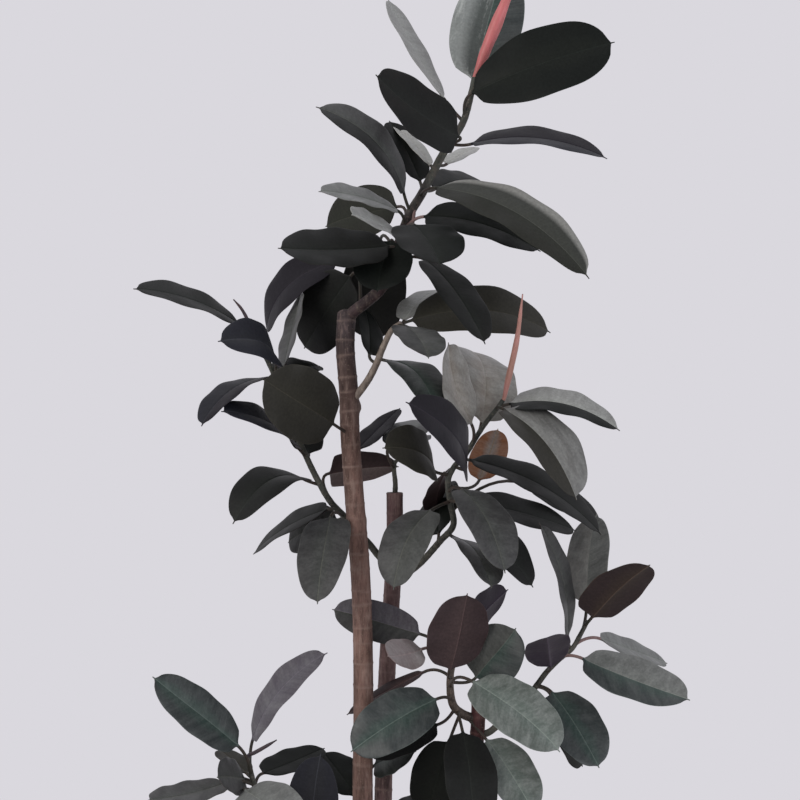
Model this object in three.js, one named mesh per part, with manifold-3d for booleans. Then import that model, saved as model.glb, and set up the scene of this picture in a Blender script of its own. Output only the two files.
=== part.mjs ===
// A tall rubber plant in a plain round pot: three woody trunks, leafy shoots that spring from
// them, thick folded leaves and the pointed sheaths of new leaves.
//
// Millimetres, +Z up. The origin is the centre of the pot's flat base. X runs to the right and
// Y away from someone who looks at the front of the plant.
//
// Every place on the plant is written as it looks from the front, [across, height, depth]: how
// far right and how high it appears on the upright plane through the pot's centre, as seen from
// EYE, and then how far behind that plane it really is.

import * as THREE from 'three';
import { mergeVertices } from 'three/addons/utils/BufferGeometryUtils.js';
import Module from 'manifold-3d';

// Driving dimensions

const EYE = new THREE.Vector3(30, -2200, 1250);

const POT_HEIGHT = 300;
const POT_BASE_RADIUS = 108;
const POT_TOP_RADIUS = 145;
const POT_WALL = 8;
const POT_FLOOR = 10;
const RIM_HEIGHT = 34;
const RIM_PROUD = 5;
const ROUNDING = 4;
const RIM_EDGE = 1;
const SOIL_TOP = 262;
const SOIL_CROWN = 6;
const SOIL_SHOULDER = 0.9; // shares of the soil's radius where its top slopes
const SOIL_MIDDLE = 0.5;
const SOIL_MIDDLE_RISE = 2;
const GAP = 0.35;
const POT_SIDES = 30;
const WELD = 1e-4; // corners nearer than this are one corner

const TRUNK_SIDES = 10;
const STEM_SIDES = 6;
const EXTRA_STEM_RINGS = 3;
const AXIS_SAMPLES = 200;
const LEAF_SCAR_SPACING = 62;
const LEAF_SCAR_PROUD = 0.9;

const PETIOLE_RADIUS = 2.6;
const PETIOLE_BEND = 0.45; // where the petiole bends, as a share of its length from the blade
const PETIOLE_STEPS = [1, 0.5, 0];
const BLADE_THICKNESS = 1.2;
const MIDRIB_THICKNESS = 2.6;
const FOLD = 0.14; // how much each half of a blade rises for each millimetre from the midrib
const BLADE_STEPS = [0.07, 0.24, 0.46, 0.7, 0.9, 1]; // shares of the blade's length
const ROUND_END = 0.95; // share of the length where the oval ends and only the drip tip goes on
const DRIP_TIP_HALF_WIDTH = 1.1;
const SPEAR_NECK = 3;
const LEAN_TO_RIGHT = 0.1; // settles which way is up for a leaf that hangs or stands plumb

// The trunks and shoots: places along the axis, then the radius at its foot and at its end

const MAIN_TRUNK = {
  axis: [
    [-24, 215, -28], [-23, 330, -28], [-22, 450, -27], [-24, 560, -26], [-26, 660, -26],
    [-25, 780, -25], [-26, 900, -25], [-30, 1000, -24], [-38, 1100, -23], [-45, 1200, -22],
    [-47, 1262, -22], [-52, 1330, -22], [-50, 1378, -22],
  ],
  radii: [15.5, 14],
};
const SECOND_TRUNK = {
  axis: [
    [0, 215, 40], [1, 330, 40], [3, 460, 40], [4, 560, 40], [5, 660, 40], [9, 800, 41],
    [12, 870, 41], [19, 980, 42], [22, 1050, 42], [22, 1110, 42],
  ],
  radii: [14, 12.5],
};
const THIRD_TRUNK = {
  axis: [
    [35, 215, -30], [42, 310, -26], [62, 400, -22], [92, 500, -20], [120, 600, -20],
    [138, 690, -20], [146, 750, -20], [148, 797, -20],
  ],
  radii: [12.5, 10.5],
};

const LEADER = {
  axis: [
    [-50, 1368, -22], [-40, 1382, -29], [-22, 1396, -36], [2, 1418, -40], [18, 1450, -38],
    [30, 1490, -34], [45, 1530, -28], [62, 1558, -22], [78, 1588, -18], [95, 1620, -14],
    [112, 1645, -10], [126, 1670, -6], [137, 1710, -3], [142, 1732, 0],
  ],
  radii: [9, 4.5],
  parent: MAIN_TRUNK,
  // place on the stem, foot of the blade, tip, width, turn, arch
  leaves: [
    [[128, 1674], [138, 1710, -26], [352, 1787, -66], 112, 19, 14],
    [[137, 1712], [139, 1730, 16], [188, 1902, 66], 108, 4, -8],
    [[125, 1668], [96, 1702, 14], [12, 1852, 112], 68, 60, -4],
    [[107, 1633], [118, 1645, -32], [-6, 1738, -132], 102, 36, -10],
    [[104, 1634], [137, 1634, -20], [341, 1612, -64], 80, 60, 20],
    [[84, 1600], [76, 1602, 4], [20, 1662, 52], 32, 52, 4],
    [[86, 1604], [100, 1604, 6], [147, 1629, 60], 38, 54, 2],
    [[46, 1532], [36, 1559, -46], [-96, 1690, -104], 90, 58, 28],
    [[38, 1510], [26, 1534, -54], [-92, 1563, -112], 72, 64, 6],
    [[28, 1484], [26, 1540, -4], [-82, 1510, 90], 88, 16, 4],
    [[56, 1540], [32, 1496, -84], [-42, 1528, -196], 62, 62, 2],
    [[24, 1468], [14, 1480, -66], [-153, 1478, -120], 100, 50, -4],
    [[33, 1496], [66, 1525, -52], [241, 1473, -74], 90, 52, 17],
    [[60, 1556], [84, 1568, -64], [314, 1432, -170], 90, 42, 34],
    [[32, 1492], [52, 1512, -98], [90, 1452, -196], 100, 28, 6],
    [[67, 1567], [82, 1566, 14], [153, 1578, 110], 76, 50, 8],
    [[24, 1462], [68, 1460, -44], [158, 1334, -168], 74, 46, 12],
    [[14, 1444], [-62, 1460, 44], [-170, 1352, 112], 84, 48, 33],
    [[-30, 1391], [-44, 1436, 10], [-114, 1327, 96], 98, 20, 6],
    [[24, 1470], [0, 1486, 26], [-16, 1340, 136], 102, 4, 4],
    [[25, 1472], [16, 1488, -54], [-4, 1412, -94], 86, 10, 4],
    [[50, 1538], [60, 1578, 10], [14, 1669, 48], 66, 44, 4],
  ],
};
const UPPER_RIGHT_SHOOT = {
  axis: [
    [-46, 1244, -22], [-35, 1257, -27], [-18, 1280, -33], [-5, 1305, -37], [5, 1330, -39],
    [18, 1355, -39], [31, 1365, -38],
  ],
  radii: [6, 4],
  parent: MAIN_TRUNK,
  leaves: [
    [[27, 1362], [46, 1369, -34], [256, 1351, -4], 94, 40, 34],
    [[20, 1356], [36, 1369, -16], [93, 1415, 66], 60, 58, 10],
    [[27, 1362], [40, 1360, -64], [73, 1313, -190], 72, 38, 6],
    [[-5, 1305], [-16, 1318, -20], [-24, 1388, 38], 58, 56, 4],
    [[-2, 1312], [16, 1308, -44], [84, 1232, -146], 80, 52, 20],
  ],
};
const LEFT_SHOOT = {
  axis: [
    [20, 1000, 42], [4, 1010, 36], [-18, 1036, 30], [-36, 1054, 24], [-50, 1072, 16],
    [-73, 1096, 4], [-95, 1133, -12], [-112, 1168, -22], [-140, 1230, -28], [-160, 1290, -30],
    [-180, 1332, -32], [-192, 1356, -34],
  ],
  radii: [5.5, 3.4],
  parent: SECOND_TRUNK,
  leaves: [
    [[-156, 1280], [-144, 1300, -16], [-118, 1412, 40], 74, 68, 0],
    [[-158, 1284], [-156, 1304, -46], [-243, 1338, -150], 84, 55, 27],
    [[-186, 1344], [-210, 1362, -42], [-370, 1417, -128], 80, 69, 13],
    [[-152, 1264], [-158, 1288, -10], [-90, 1301, 62], 66, 60, 4],
    [[-152, 1266], [-176, 1282, -44], [-268, 1211, -150], 70, 60, 16],
    [[-110, 1166], [-124, 1180, -42], [-238, 1233, -150], 76, 76, 15],
    [[-112, 1168], [-107, 1169, -6], [-128, 1262, 92], 56, 26, 4],
    [[-86, 1124], [-112, 1130, -24], [-221, 1064, -128], 82, 54, 34],
    [[-60, 1086], [-78, 1086, 22], [-189, 1020, 116], 72, 74, 10],
    [[-52, 1076], [-74, 1074, -24], [-94, 944, -120], 78, 18, 6],
    [[-54, 1078], [-64, 1070, 40], [-138, 1036, 120], 72, 38, 6],
    [[-66, 1092], [-76, 1140, 30], [28, 1150, 66], 62, 148, 4],
  ],
};
const CUT_TRUNK_SHOOT = {
  axis: [[22, 1102, 42], [23, 1124, 42], [21, 1146, 40], [22, 1158, 38]],
  radii: [4.2, 3.2],
  parent: SECOND_TRUNK,
  leaves: [
    [[21, 1148], [14, 1180, 26], [76, 1216, 112], 62, 56, 6],
    [[22, 1154], [32, 1168, 52], [60, 1196, 160], 60, 58, 2],
  ],
};
const RIGHT_SHOOT = {
  axis: [
    [20, 975, 42], [34, 985, 30], [60, 1005, 8], [90, 1038, -20], [110, 1062, -38],
    [106, 1095, -50], [102, 1128, -56], [110, 1148, -58], [128, 1168, -58], [143, 1192, -56],
    [156, 1212, -54], [180, 1243, -50], [184, 1249, -50],
  ],
  radii: [5.5, 3.4],
  parent: SECOND_TRUNK,
  leaves: [
    [[103, 1138], [80, 1146, -78], [4, 1178, -172], 78, 44, 20],
    [[112, 1150], [129, 1150, -96], [39, 1247, -240], 86, 52, 22],
    [[139, 1186], [137, 1214, -72], [103, 1336, -132], 78, 54, -8],
    [[145, 1196], [152, 1216, -24], [138, 1323, 96], 106, 30, 26],
    [[178, 1240], [194, 1244, -52], [360, 1204, -84], 80, 62, 22],
    [[176, 1238], [186, 1236, -84], [295, 1100, -150], 96, 46, 22],
    [[116, 1156], [134, 1160, -70], [332, 1048, -100], 88, 66, 20],
    [[106, 1100], [140, 1096, -40], [294, 1054, 14], 80, 64, 5],
    [[107, 1084], [216, 1125, 24], [335, 1058, 112], 76, 58, 10],
    [[104, 1112], [122, 1116, -96], [188, 990, -190], 82, 42, 18],
    [[106, 1098], [126, 1090, -82], [230, 969, -122], 80, 56, 8],
    [[100, 1050], [116, 1042, -40], [168, 968, -146], 70, 60, 14],
    [[105, 1098], [76, 1084, -80], [20, 965, -148], 78, 38, 22],
    [[86, 1034], [88, 1049, -6], [94, 1122, 112], 80, 46, 4],
    [[102, 1130], [96, 1140, -40], [82, 1084, 70], 58, 126, 4],
  ],
};
const LOWER_MIDDLE_SHOOT = {
  axis: [
    [142, 772, -20], [124, 779, -24], [110, 792, -28], [105, 830, -28], [110, 860, -26],
    [115, 886, -22],
  ],
  radii: [7, 4.2],
  parent: THIRD_TRUNK,
  leaves: [
    [[111, 864], [60, 899, 6], [-72, 936, 12], 60, 6, 4],
    [[113, 876], [62, 876, -60], [12, 866, -150], 54, 50, -6],
    [[105, 835], [66, 842, 2], [-50, 778, 14], 34, 68, 2],
    [[108, 800], [84, 801, -64], [-44, 722, -104], 84, 30, 14],
    [[112, 788], [86, 763, -44], [-20, 718, -62], 66, 48, 6],
    [[106, 834], [105, 846, -62], [131, 960, -92], 96, 156, -6],
    [[111, 866], [120, 886, -4], [192, 966, 82], 76, 132, 6],
    [[106, 827], [144, 834, -30], [204, 908, -62], 88, 22, 6],
    [[105, 819], [140, 827, -108], [270, 722, -186], 88, 38, 10],
    [[116, 784], [124, 752, -70], [141, 603, -146], 82, 24, 8],
    [[120, 780], [104, 738, -44], [74, 620, 24], 80, 24, 8],
    [[129, 777], [160, 740, -40], [233, 629, -100], 78, 34, 8],
  ],
};
const LOWER_RIGHT_SHOOT = {
  axis: [
    [147, 748, -20], [162, 751, -22], [185, 770, -26], [210, 793, -28], [232, 818, -30],
    [250, 842, -32], [270, 862, -33], [288, 877, -34], [300, 897, -34], [311, 918, -34],
  ],
  radii: [5.2, 3.2],
  parent: THIRD_TRUNK,
  leaves: [
    [[235, 822], [258, 811, -48], [329, 698, -122], 84, 32, 8],
    [[234, 820], [256, 808, -14], [304, 700, 46], 62, 40, 6],
    [[286, 876], [281, 894, -38], [239, 1066, -66], 66, 65, 15],
    [[304, 905], [310, 944, -10], [325, 1079, 34], 74, 40, 6],
    [[308, 912], [318, 924, -48], [405, 1003, -136], 82, 152, 6],
    [[292, 884], [330, 892, -10], [431, 855, 52], 60, 72, 0],
    [[274, 866], [304, 862, -58], [465, 800, -124], 86, 52, -4],
    [[250, 842], [256, 850, -52], [250, 894, -165], 68, 180, 6],
  ],
};
const LOWER_LEFT_SHOOT = {
  axis: [
    [-23, 468, -27], [-46, 486, -34], [-90, 530, -44], [-150, 600, -52], [-184, 660, -52],
    [-196, 703, -50], [-197, 713, -49],
  ],
  radii: [6, 3.6],
  parent: MAIN_TRUNK,
  leaves: [
    [[-193, 688], [-213, 731, -70], [-341, 835, -124], 70, 46, 4],
    [[-195, 698], [-191, 740, -32], [-79, 871, -66], 72, 60, 19],
    [[-190, 684], [-200, 690, -30], [-241, 725, 20], 48, 74, 2],
    [[-186, 668], [-176, 690, -26], [-83, 728, 60], 66, 70, -2],
    [[-112, 556], [-104, 584, -66], [-89, 719, -122], 76, 14, 6],
    [[-186, 664], [-202, 664, -96], [-122, 600, -226], 80, 50, 6],
    [[-189, 678], [-204, 682, -44], [-244, 684, -136], 58, 66, 2],
    [[-188, 672], [-230, 676, -70], [-348, 650, -142], 72, 80, -5],
    [[-138, 586], [-170, 578, -66], [-300, 520, -126], 84, 40, 14],
    [[-104, 546], [-96, 520, -70], [-120, 400, -142], 84, 24, 8],
    [[-124, 570], [-140, 590, -14], [-210, 560, 130], 78, 50, 8],
  ],
};

// Leaves that spring straight from a trunk, each with the trunk that carries it
const TRUNK_LEAVES = {
  trunk_leaf_front: [MAIN_TRUNK, [[-45, 1198], [-70, 1214, -58], [-176, 1282, -170], 104, 14, 6]],
  trunk_leaf_back: [MAIN_TRUNK, [[-42, 1160], [-34, 1175, 14], [30, 1238, 100], 52, 58, 0]],
  trunk_leaf_low_right: [MAIN_TRUNK, [[-26, 672], [-8, 702, -4], [54, 723, -46], 70, 58, 4]],
  trunk_leaf_low_left: [MAIN_TRUNK, [[-26, 640], [-38, 656, -4], [-86, 722, 70], 70, 50, 4]],
  trunk_leaf_hidden_right: [THIRD_TRUNK, [[92, 500], [118, 524, -46], [262, 486, -128], 86, 44, 14]],
  trunk_leaf_hidden_back: [SECOND_TRUNK, [[4, 560], [18, 600, 64], [96, 640, 190], 82, 50, 8]],
};

// The leaf that is dying on the right shoot, and the sheaths that hold the next leaves: the
// stem that each one ends, its axis beyond the stem's end, and its radii from foot to tip
const WITHERED_LEAF = [[102, 1121], [149, 1130, 8], [177, 1207, 86], 56, 20, -6];
const SPEARS = {
  spear_top: {
    stem: LEADER,
    axis: [[154, 1762, -4], [171, 1805, -14], [189, 1850, -22], [206, 1893, -26]],
    radii: [3.8, 8.4, 9.4, 7, 1.2],
  },
  spear_right: {
    stem: RIGHT_SHOOT,
    axis: [[190, 1270, -57], [198, 1305, -66], [206, 1345, -74], [214, 1409, -80]],
    radii: [3, 4.8, 4.4, 3, 1],
  },
  spear_lower_left: {
    stem: LOWER_LEFT_SHOOT,
    axis: [[-188, 721, -51], [-172, 730, -55], [-155, 740, -59]],
    radii: [2.8, 3, 2.6, 1],
  },
  spear_left: {
    stem: LEFT_SHOOT,
    axis: [[-199, 1371, -34], [-208, 1387, -36], [-220, 1401, -38]],
    radii: [2.2, 2.6, 2.2, 1],
  },
};

// Colours and finishes

const finish = (color, roughness) =>
  new THREE.MeshStandardMaterial({ color, roughness, metalness: 0 });
const barkBrown = () => finish(0x73604f, 0.9);
const leafGreen = () => finish(0x2b302d, 0.35);
const sheathRed = () => finish(0xcd5a64, 0.45);
const witheredBrown = () => finish(0x9a5a2c, 0.7);
const potGrey = () => finish(0xb8b3aa, 0.7);
const soilBrown = () => finish(0x3a2c22, 1);

// Solids: joining and cutting

const wasm = await Module();
wasm.setup();

function toSolid(geometry) {
  const bare = geometry.clone();
  bare.deleteAttribute('normal');
  bare.deleteAttribute('uv');
  const merged = mergeVertices(bare, WELD);
  return new wasm.Manifold(new wasm.Mesh({
    numProp: 3,
    vertProperties: new Float32Array(merged.attributes.position.array),
    triVerts: new Uint32Array(merged.index.array),
  }));
}

function toGeometry(solid) {
  const mesh = solid.getMesh();
  const geometry = new THREE.BufferGeometry();
  geometry.setAttribute('position', new THREE.BufferAttribute(mesh.vertProperties, 3));
  geometry.setIndex(new THREE.BufferAttribute(mesh.triVerts, 1));
  geometry.computeVertexNormals();
  return geometry;
}

// Where a place on the front view, with its depth, really is
function at([across, height, depth]) {
  const spread = (depth - EYE.y) / -EYE.y;
  return new THREE.Vector3(
    EYE.x + (across - EYE.x) * spread, depth, EYE.z + (height - EYE.z) * spread);
}

// A closed body carried along rings with equal numbers of corners. Each ring runs anticlockwise
// about the way it is carried. On a blade the lower face is split into triangles as the upper is.
function carried(rings, isBlade = false) {
  const count = rings[0].length;
  const index = [];
  for (let ring = 0; ring < rings.length - 1; ring++) {
    for (let corner = 0; corner < count; corner++) {
      const a = ring * count + corner;
      const b = ring * count + ((corner + 1) % count);
      const c = a + count;
      const d = b + count;
      if (isBlade && corner >= count - 2) index.push(a, b, c, b, d, c);
      else index.push(a, b, d, a, d, c);
    }
  }
  const last = (rings.length - 1) * count;
  for (let corner = 1; corner < count - 1; corner++) {
    index.push(0, corner + 1, corner, last, last + corner, last + corner + 1);
  }
  const geometry = new THREE.BufferGeometry().setFromPoints(rings.flat());
  geometry.setIndex(index);
  return geometry;
}

// Trunks and stems

const axisCurve = (axis) => new THREE.CatmullRomCurve3(axis.map(at), false, 'centripetal');

// A round stem along its axis, with its radius given as a function of the share of its length
function roundStem(curve, radiusAt, sides, steps) {
  const frames = curve.computeFrenetFrames(steps, false);
  const rings = [];
  for (let step = 0; step <= steps; step++) {
    const centre = curve.getPointAt(step / steps);
    const radius = radiusAt(step / steps, step);
    rings.push(Array.from({ length: sides }, (_, side) => {
      const angle = (2 * Math.PI * side) / sides;
      return centre.clone()
        .addScaledVector(frames.normals[step], radius * Math.cos(angle))
        .addScaledVector(frames.binormals[step], radius * Math.sin(angle));
    }));
  }
  return carried(rings);
}

// A trunk swells a little at every second ring, where an old leaf left its scar
function trunkSolid({ axis, radii }, extra = 0) {
  const curve = axisCurve(axis);
  const steps = 2 * Math.round(curve.getLength() / LEAF_SCAR_SPACING);
  const radiusAt = (share, step) => {
    const scar = step % 2 && step < steps ? LEAF_SCAR_PROUD : 0;
    return THREE.MathUtils.lerp(...radii, share) + scar + extra;
  };
  return toSolid(roundStem(curve, radiusAt, TRUNK_SIDES, steps));
}

function stemSolid({ axis, radii }) {
  const curve = axisCurve(axis);
  const steps = axis.length + EXTRA_STEM_RINGS;
  return toSolid(roundStem(
    curve, (share) => THREE.MathUtils.lerp(...radii, share), STEM_SIDES, steps));
}

// The point of a stem's axis that looks nearest to a place on the front view
function onAxis({ axis }, [across, height]) {
  const curve = axisCurve(axis);
  let nearest = null;
  let least = Infinity;
  for (const point of curve.getSpacedPoints(AXIS_SAMPLES)) {
    const spread = (point.y - EYE.y) / -EYE.y;
    const seenAcross = EYE.x + (point.x - EYE.x) / spread;
    const seenHeight = EYE.z + (point.z - EYE.z) / spread;
    const away = Math.hypot(seenAcross - across, seenHeight - height);
    if (away < least) {
      least = away;
      nearest = point;
    }
  }
  return nearest;
}

// Leaves

// Half the blade's width, as a share of its greatest, at a share of its length: an oval, then
// the slim drip tip
function outline(share) {
  const along = Math.min(share / ROUND_END, 1);
  return Math.sqrt(1 - (2 * along - 1) ** 2);
}

// A ring of six corners: right rim, midrib and left rim, each with an upper and a lower corner
function bladeRing(centre, side, normal, halfWidth, rise, rimHalf, midHalf) {
  const corner = (across, up) =>
    centre.clone().addScaledVector(side, across).addScaledVector(normal, up);
  return [
    corner(halfWidth, rise - rimHalf), corner(halfWidth, rise + rimHalf), corner(0, midHalf),
    corner(-halfWidth, rise + rimHalf), corner(-halfWidth, rise - rimHalf), corner(0, -midHalf),
  ];
}

// The petiole curves from the stem to the blade's foot, and the blade is one thick sheet folded
// along its midrib. turn is the angle, in degrees, between the upper face and the one who looks
// from the front: 0 faces them, 90 faces the sky and shows the leaf edge-on. arch is how far the
// midrib bows out on the upper face.
function leafSolid(root, [, footPlace, tipPlace, width, turn, arch]) {
  const foot = at(footPlace);
  const tip = at(tipPlace);
  const chord = tip.clone().sub(foot);
  const along = chord.clone().normalize();
  const toEye = new THREE.Vector3(0, -1, 0);
  const facing = toEye.addScaledVector(along, -toEye.dot(along)).normalize();
  const skyward = along.clone().cross(facing);
  if (skyward.z + LEAN_TO_RIGHT * skyward.x < 0) skyward.negate();
  const angle = THREE.MathUtils.degToRad(turn);
  const normal = facing.multiplyScalar(Math.cos(angle)).addScaledVector(skyward, Math.sin(angle));
  const side = normal.clone().cross(along);

  const rings = [];
  const startOfMidrib = chord.clone().addScaledVector(normal, 4 * arch).normalize();
  const bend = foot.clone().addScaledVector(startOfMidrib, -PETIOLE_BEND * foot.distanceTo(root));
  const petiole = new THREE.QuadraticBezierCurve3(root, bend, foot);
  let carriedSide = side;
  for (const share of PETIOLE_STEPS) {
    const tangent = petiole.getTangent(share);
    carriedSide = carriedSide.clone()
      .addScaledVector(tangent, -carriedSide.dot(tangent)).normalize();
    const up = tangent.clone().cross(carriedSide);
    rings.unshift(bladeRing(petiole.getPoint(share), carriedSide, up,
      PETIOLE_RADIUS, 0, PETIOLE_RADIUS / 2, PETIOLE_RADIUS));
  }
  for (const share of BLADE_STEPS) {
    const centre = foot.clone().addScaledVector(chord, share)
      .addScaledVector(normal, 4 * arch * share * (1 - share));
    const tangent = chord.clone().addScaledVector(normal, 4 * arch * (1 - 2 * share)).normalize();
    const up = tangent.clone().cross(side);
    const half = Math.max((width / 2) * outline(share), DRIP_TIP_HALF_WIDTH);
    const midHalf = THREE.MathUtils.lerp(MIDRIB_THICKNESS, BLADE_THICKNESS, share) / 2;
    rings.push(bladeRing(centre, side, up, half, FOLD * half, BLADE_THICKNESS / 2, midHalf));
  }
  return toSolid(carried(rings, true));
}

// Shoots

function shootSolid(shoot) {
  const leaves = shoot.leaves.map((leaf) => leafSolid(onAxis(shoot, leaf[0]), leaf));
  const whole = leaves.reduce((sum, leaf) => sum.add(leaf), stemSolid(shoot));
  return whole.subtract(trunkSolid(shoot.parent, GAP));
}

// Pot and soil, turned about the pot's axis

const turned = (profile) =>
  toSolid(new THREE.LatheGeometry(profile.map(([r, z]) => new THREE.Vector2(r, z)), POT_SIDES)
    .rotateX(Math.PI / 2));

const outerRadius = (z) =>
  THREE.MathUtils.lerp(POT_BASE_RADIUS, POT_TOP_RADIUS, z / POT_HEIGHT);
const innerRadius = (z) => outerRadius(z) - POT_WALL;

function potSolid() {
  const rimFoot = POT_HEIGHT - RIM_HEIGHT;
  const rim = POT_TOP_RADIUS + RIM_PROUD;
  return turned([
    [0, 0], [POT_BASE_RADIUS - ROUNDING, 0], [outerRadius(ROUNDING), ROUNDING],
    [outerRadius(rimFoot), rimFoot], [rim - RIM_EDGE, rimFoot + RIM_EDGE],
    [rim, rimFoot + ROUNDING],
    [rim, POT_HEIGHT - ROUNDING], [rim - ROUNDING, POT_HEIGHT],
    [innerRadius(POT_HEIGHT) + ROUNDING, POT_HEIGHT],
    [innerRadius(POT_HEIGHT), POT_HEIGHT - ROUNDING],
    [innerRadius(POT_FLOOR + ROUNDING), POT_FLOOR + ROUNDING],
    [innerRadius(POT_FLOOR) - ROUNDING, POT_FLOOR], [0, POT_FLOOR],
  ]);
}

function soilSolid() {
  const bottom = POT_FLOOR + GAP;
  const soil = turned([
    [0, bottom], [innerRadius(POT_FLOOR) - ROUNDING - 2 * GAP, bottom],
    [innerRadius(POT_FLOOR + ROUNDING) - 2 * GAP, POT_FLOOR + ROUNDING],
    [innerRadius(SOIL_TOP - SOIL_CROWN) - 2 * GAP, SOIL_TOP - SOIL_CROWN],
    [SOIL_SHOULDER * innerRadius(SOIL_TOP), SOIL_TOP],
    [SOIL_MIDDLE * innerRadius(SOIL_TOP), SOIL_TOP + SOIL_MIDDLE_RISE],
    [0, SOIL_TOP + SOIL_CROWN],
  ]);
  const below = ([across, height, depth]) => [across, height - GAP, depth];
  return [MAIN_TRUNK, SECOND_TRUNK, THIRD_TRUNK].reduce((rest, trunk) => {
    const hole = { ...trunk, axis: [below(trunk.axis[0]), ...trunk.axis.slice(1)] };
    return rest.subtract(trunkSolid(hole, GAP));
  }, soil);
}

// The sheath of a new leaf: a slim pointed body that goes straight on from its stem's end
function spearSolid({ stem, axis, radii }) {
  const stemCurve = axisCurve(stem.axis);
  const neck = [GAP, GAP + SPEAR_NECK].map((step) =>
    stemCurve.getPointAt(1).addScaledVector(stemCurve.getTangentAt(1), step));
  const curve = new THREE.CatmullRomCurve3([...neck, ...axis.map(at)], false, 'centripetal');
  const steps = 2 * axis.length;
  const radiusAt = (share) => {
    const place = share * (radii.length - 1);
    const before = Math.min(Math.floor(place), radii.length - 2);
    return THREE.MathUtils.lerp(radii[before], radii[before + 1], place - before);
  };
  return toSolid(roundStem(curve, radiusAt, STEM_SIDES, steps));
}

// The plant

const plant = new THREE.Group();

function addPiece(name, solid, material) {
  const mesh = new THREE.Mesh(toGeometry(solid), material);
  mesh.name = name;
  plant.add(mesh);
}

addPiece('pot', potSolid(), potGrey());
addPiece('soil', soilSolid(), soilBrown());

const trunks = { main_trunk: MAIN_TRUNK, second_trunk: SECOND_TRUNK, third_trunk: THIRD_TRUNK };
for (const [name, trunk] of Object.entries(trunks)) {
  addPiece(name, trunkSolid(trunk), barkBrown());
}

const shoots = {
  leader_shoot: LEADER,
  upper_right_shoot: UPPER_RIGHT_SHOOT,
  left_shoot: LEFT_SHOOT,
  cut_trunk_shoot: CUT_TRUNK_SHOOT,
  right_shoot: RIGHT_SHOOT,
  lower_middle_shoot: LOWER_MIDDLE_SHOOT,
  lower_right_shoot: LOWER_RIGHT_SHOOT,
  lower_left_shoot: LOWER_LEFT_SHOOT,
};
for (const [name, shoot] of Object.entries(shoots)) {
  addPiece(name, shootSolid(shoot), leafGreen());
}

for (const [name, [trunk, leaf]] of Object.entries(TRUNK_LEAVES)) {
  const solid = leafSolid(onAxis(trunk, leaf[0]), leaf).subtract(trunkSolid(trunk, GAP));
  addPiece(name, solid, leafGreen());
}

const withered = leafSolid(onAxis(RIGHT_SHOOT, WITHERED_LEAF[0]), WITHERED_LEAF);
const rightStemGrown = { ...RIGHT_SHOOT, radii: RIGHT_SHOOT.radii.map((radius) => radius + GAP) };
addPiece('withered_leaf', withered.subtract(stemSolid(rightStemGrown)), witheredBrown());

for (const [name, spear] of Object.entries(SPEARS)) {
  addPiece(name, spearSolid(spear), sheathRed());
}

export default plant;
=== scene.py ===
"""A tall potted rubber plant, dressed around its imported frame.

Sizes are in metres and +Z is up. The origin is the centre of the pot's flat base, X runs to the
right and Y away from someone who looks at the front. A place on the plant is written in
millimetres as it looks from the front, (across, height, depth): how far right and how high it
appears on the upright plane through the pot's centre, and how far behind that plane it really is.
"""

from __future__ import annotations

import logging
import math
from dataclasses import dataclass, field
from enum import Enum
from functools import lru_cache
from typing import Any, Sequence

import bpy
import numpy as np
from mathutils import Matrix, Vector

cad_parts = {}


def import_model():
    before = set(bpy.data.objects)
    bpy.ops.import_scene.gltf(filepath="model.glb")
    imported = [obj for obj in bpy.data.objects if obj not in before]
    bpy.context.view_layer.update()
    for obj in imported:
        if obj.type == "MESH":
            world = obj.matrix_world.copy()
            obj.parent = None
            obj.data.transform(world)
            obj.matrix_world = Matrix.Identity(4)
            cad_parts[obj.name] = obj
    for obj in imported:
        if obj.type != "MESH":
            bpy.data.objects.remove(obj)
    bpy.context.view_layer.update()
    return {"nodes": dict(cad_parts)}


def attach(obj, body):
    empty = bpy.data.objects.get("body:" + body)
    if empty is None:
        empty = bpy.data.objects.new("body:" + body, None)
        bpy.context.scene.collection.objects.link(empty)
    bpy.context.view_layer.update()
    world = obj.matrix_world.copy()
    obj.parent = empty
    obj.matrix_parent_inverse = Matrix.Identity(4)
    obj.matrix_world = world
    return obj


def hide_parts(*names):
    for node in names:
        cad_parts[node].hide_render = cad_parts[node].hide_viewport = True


LOG = logging.getLogger("rubber_plant")
BODY = "root"
MM = 0.001

Array = np.ndarray
Place = tuple[float, float, float]
Spot = tuple[float, float]

EYE = np.array([0.030, -2.200, 1.250])  # the camera's place, from which all places are seen
SEED_SHIFT = 5000  # keeps a seed above 0 for places left of the pot's centre and before it
SAMPLES = 200  # parts into which a line is cut to measure it or to find a place on it


def at(places: Sequence[Place] | Place) -> Array:
    """Turns places on the front view into points: each lies on the line of sight to its spot.

    Args:
        places: one place or several, in millimetres.

    Returns:
        The points, in metres, in an array with three columns (or of three numbers for one place).
    """
    seen = np.asarray(places, float) * MM
    spread = (seen[..., 2] - EYE[1]) / -EYE[1]
    across = EYE[0] + (seen[..., 0] - EYE[0]) * spread
    height = EYE[2] + (seen[..., 1] - EYE[2]) * spread
    return np.stack([across, seen[..., 2], height], axis=-1)


def luck_of(place: Sequence[float]) -> np.random.Generator:
    """Random draws that belong to a place, the same in each run."""
    return np.random.default_rng([int(value) + SEED_SHIFT for value in place])


def unit(vectors: Array) -> Array:
    """Vectors brought to length one."""
    return vectors / np.linalg.norm(vectors, axis=-1, keepdims=True)


def ease(share: Array | float) -> Array:
    """A smooth step from 0 to 1: three times the square less twice the cube."""
    held = np.clip(share, 0.0, 1.0)
    return held * held * (3.0 - 2.0 * held)


def step(share: Array, start: float, width: float) -> Array:
    """A smooth step from 0 to 1 that starts at a share and is so wide."""
    return ease((share - start) / width)


def bell(way: Array, reach: float) -> Array:
    """A bell, 1 in the middle: e to the power of minus the square of the way over the reach."""
    return np.exp(-((way / reach) ** 2))


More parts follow.
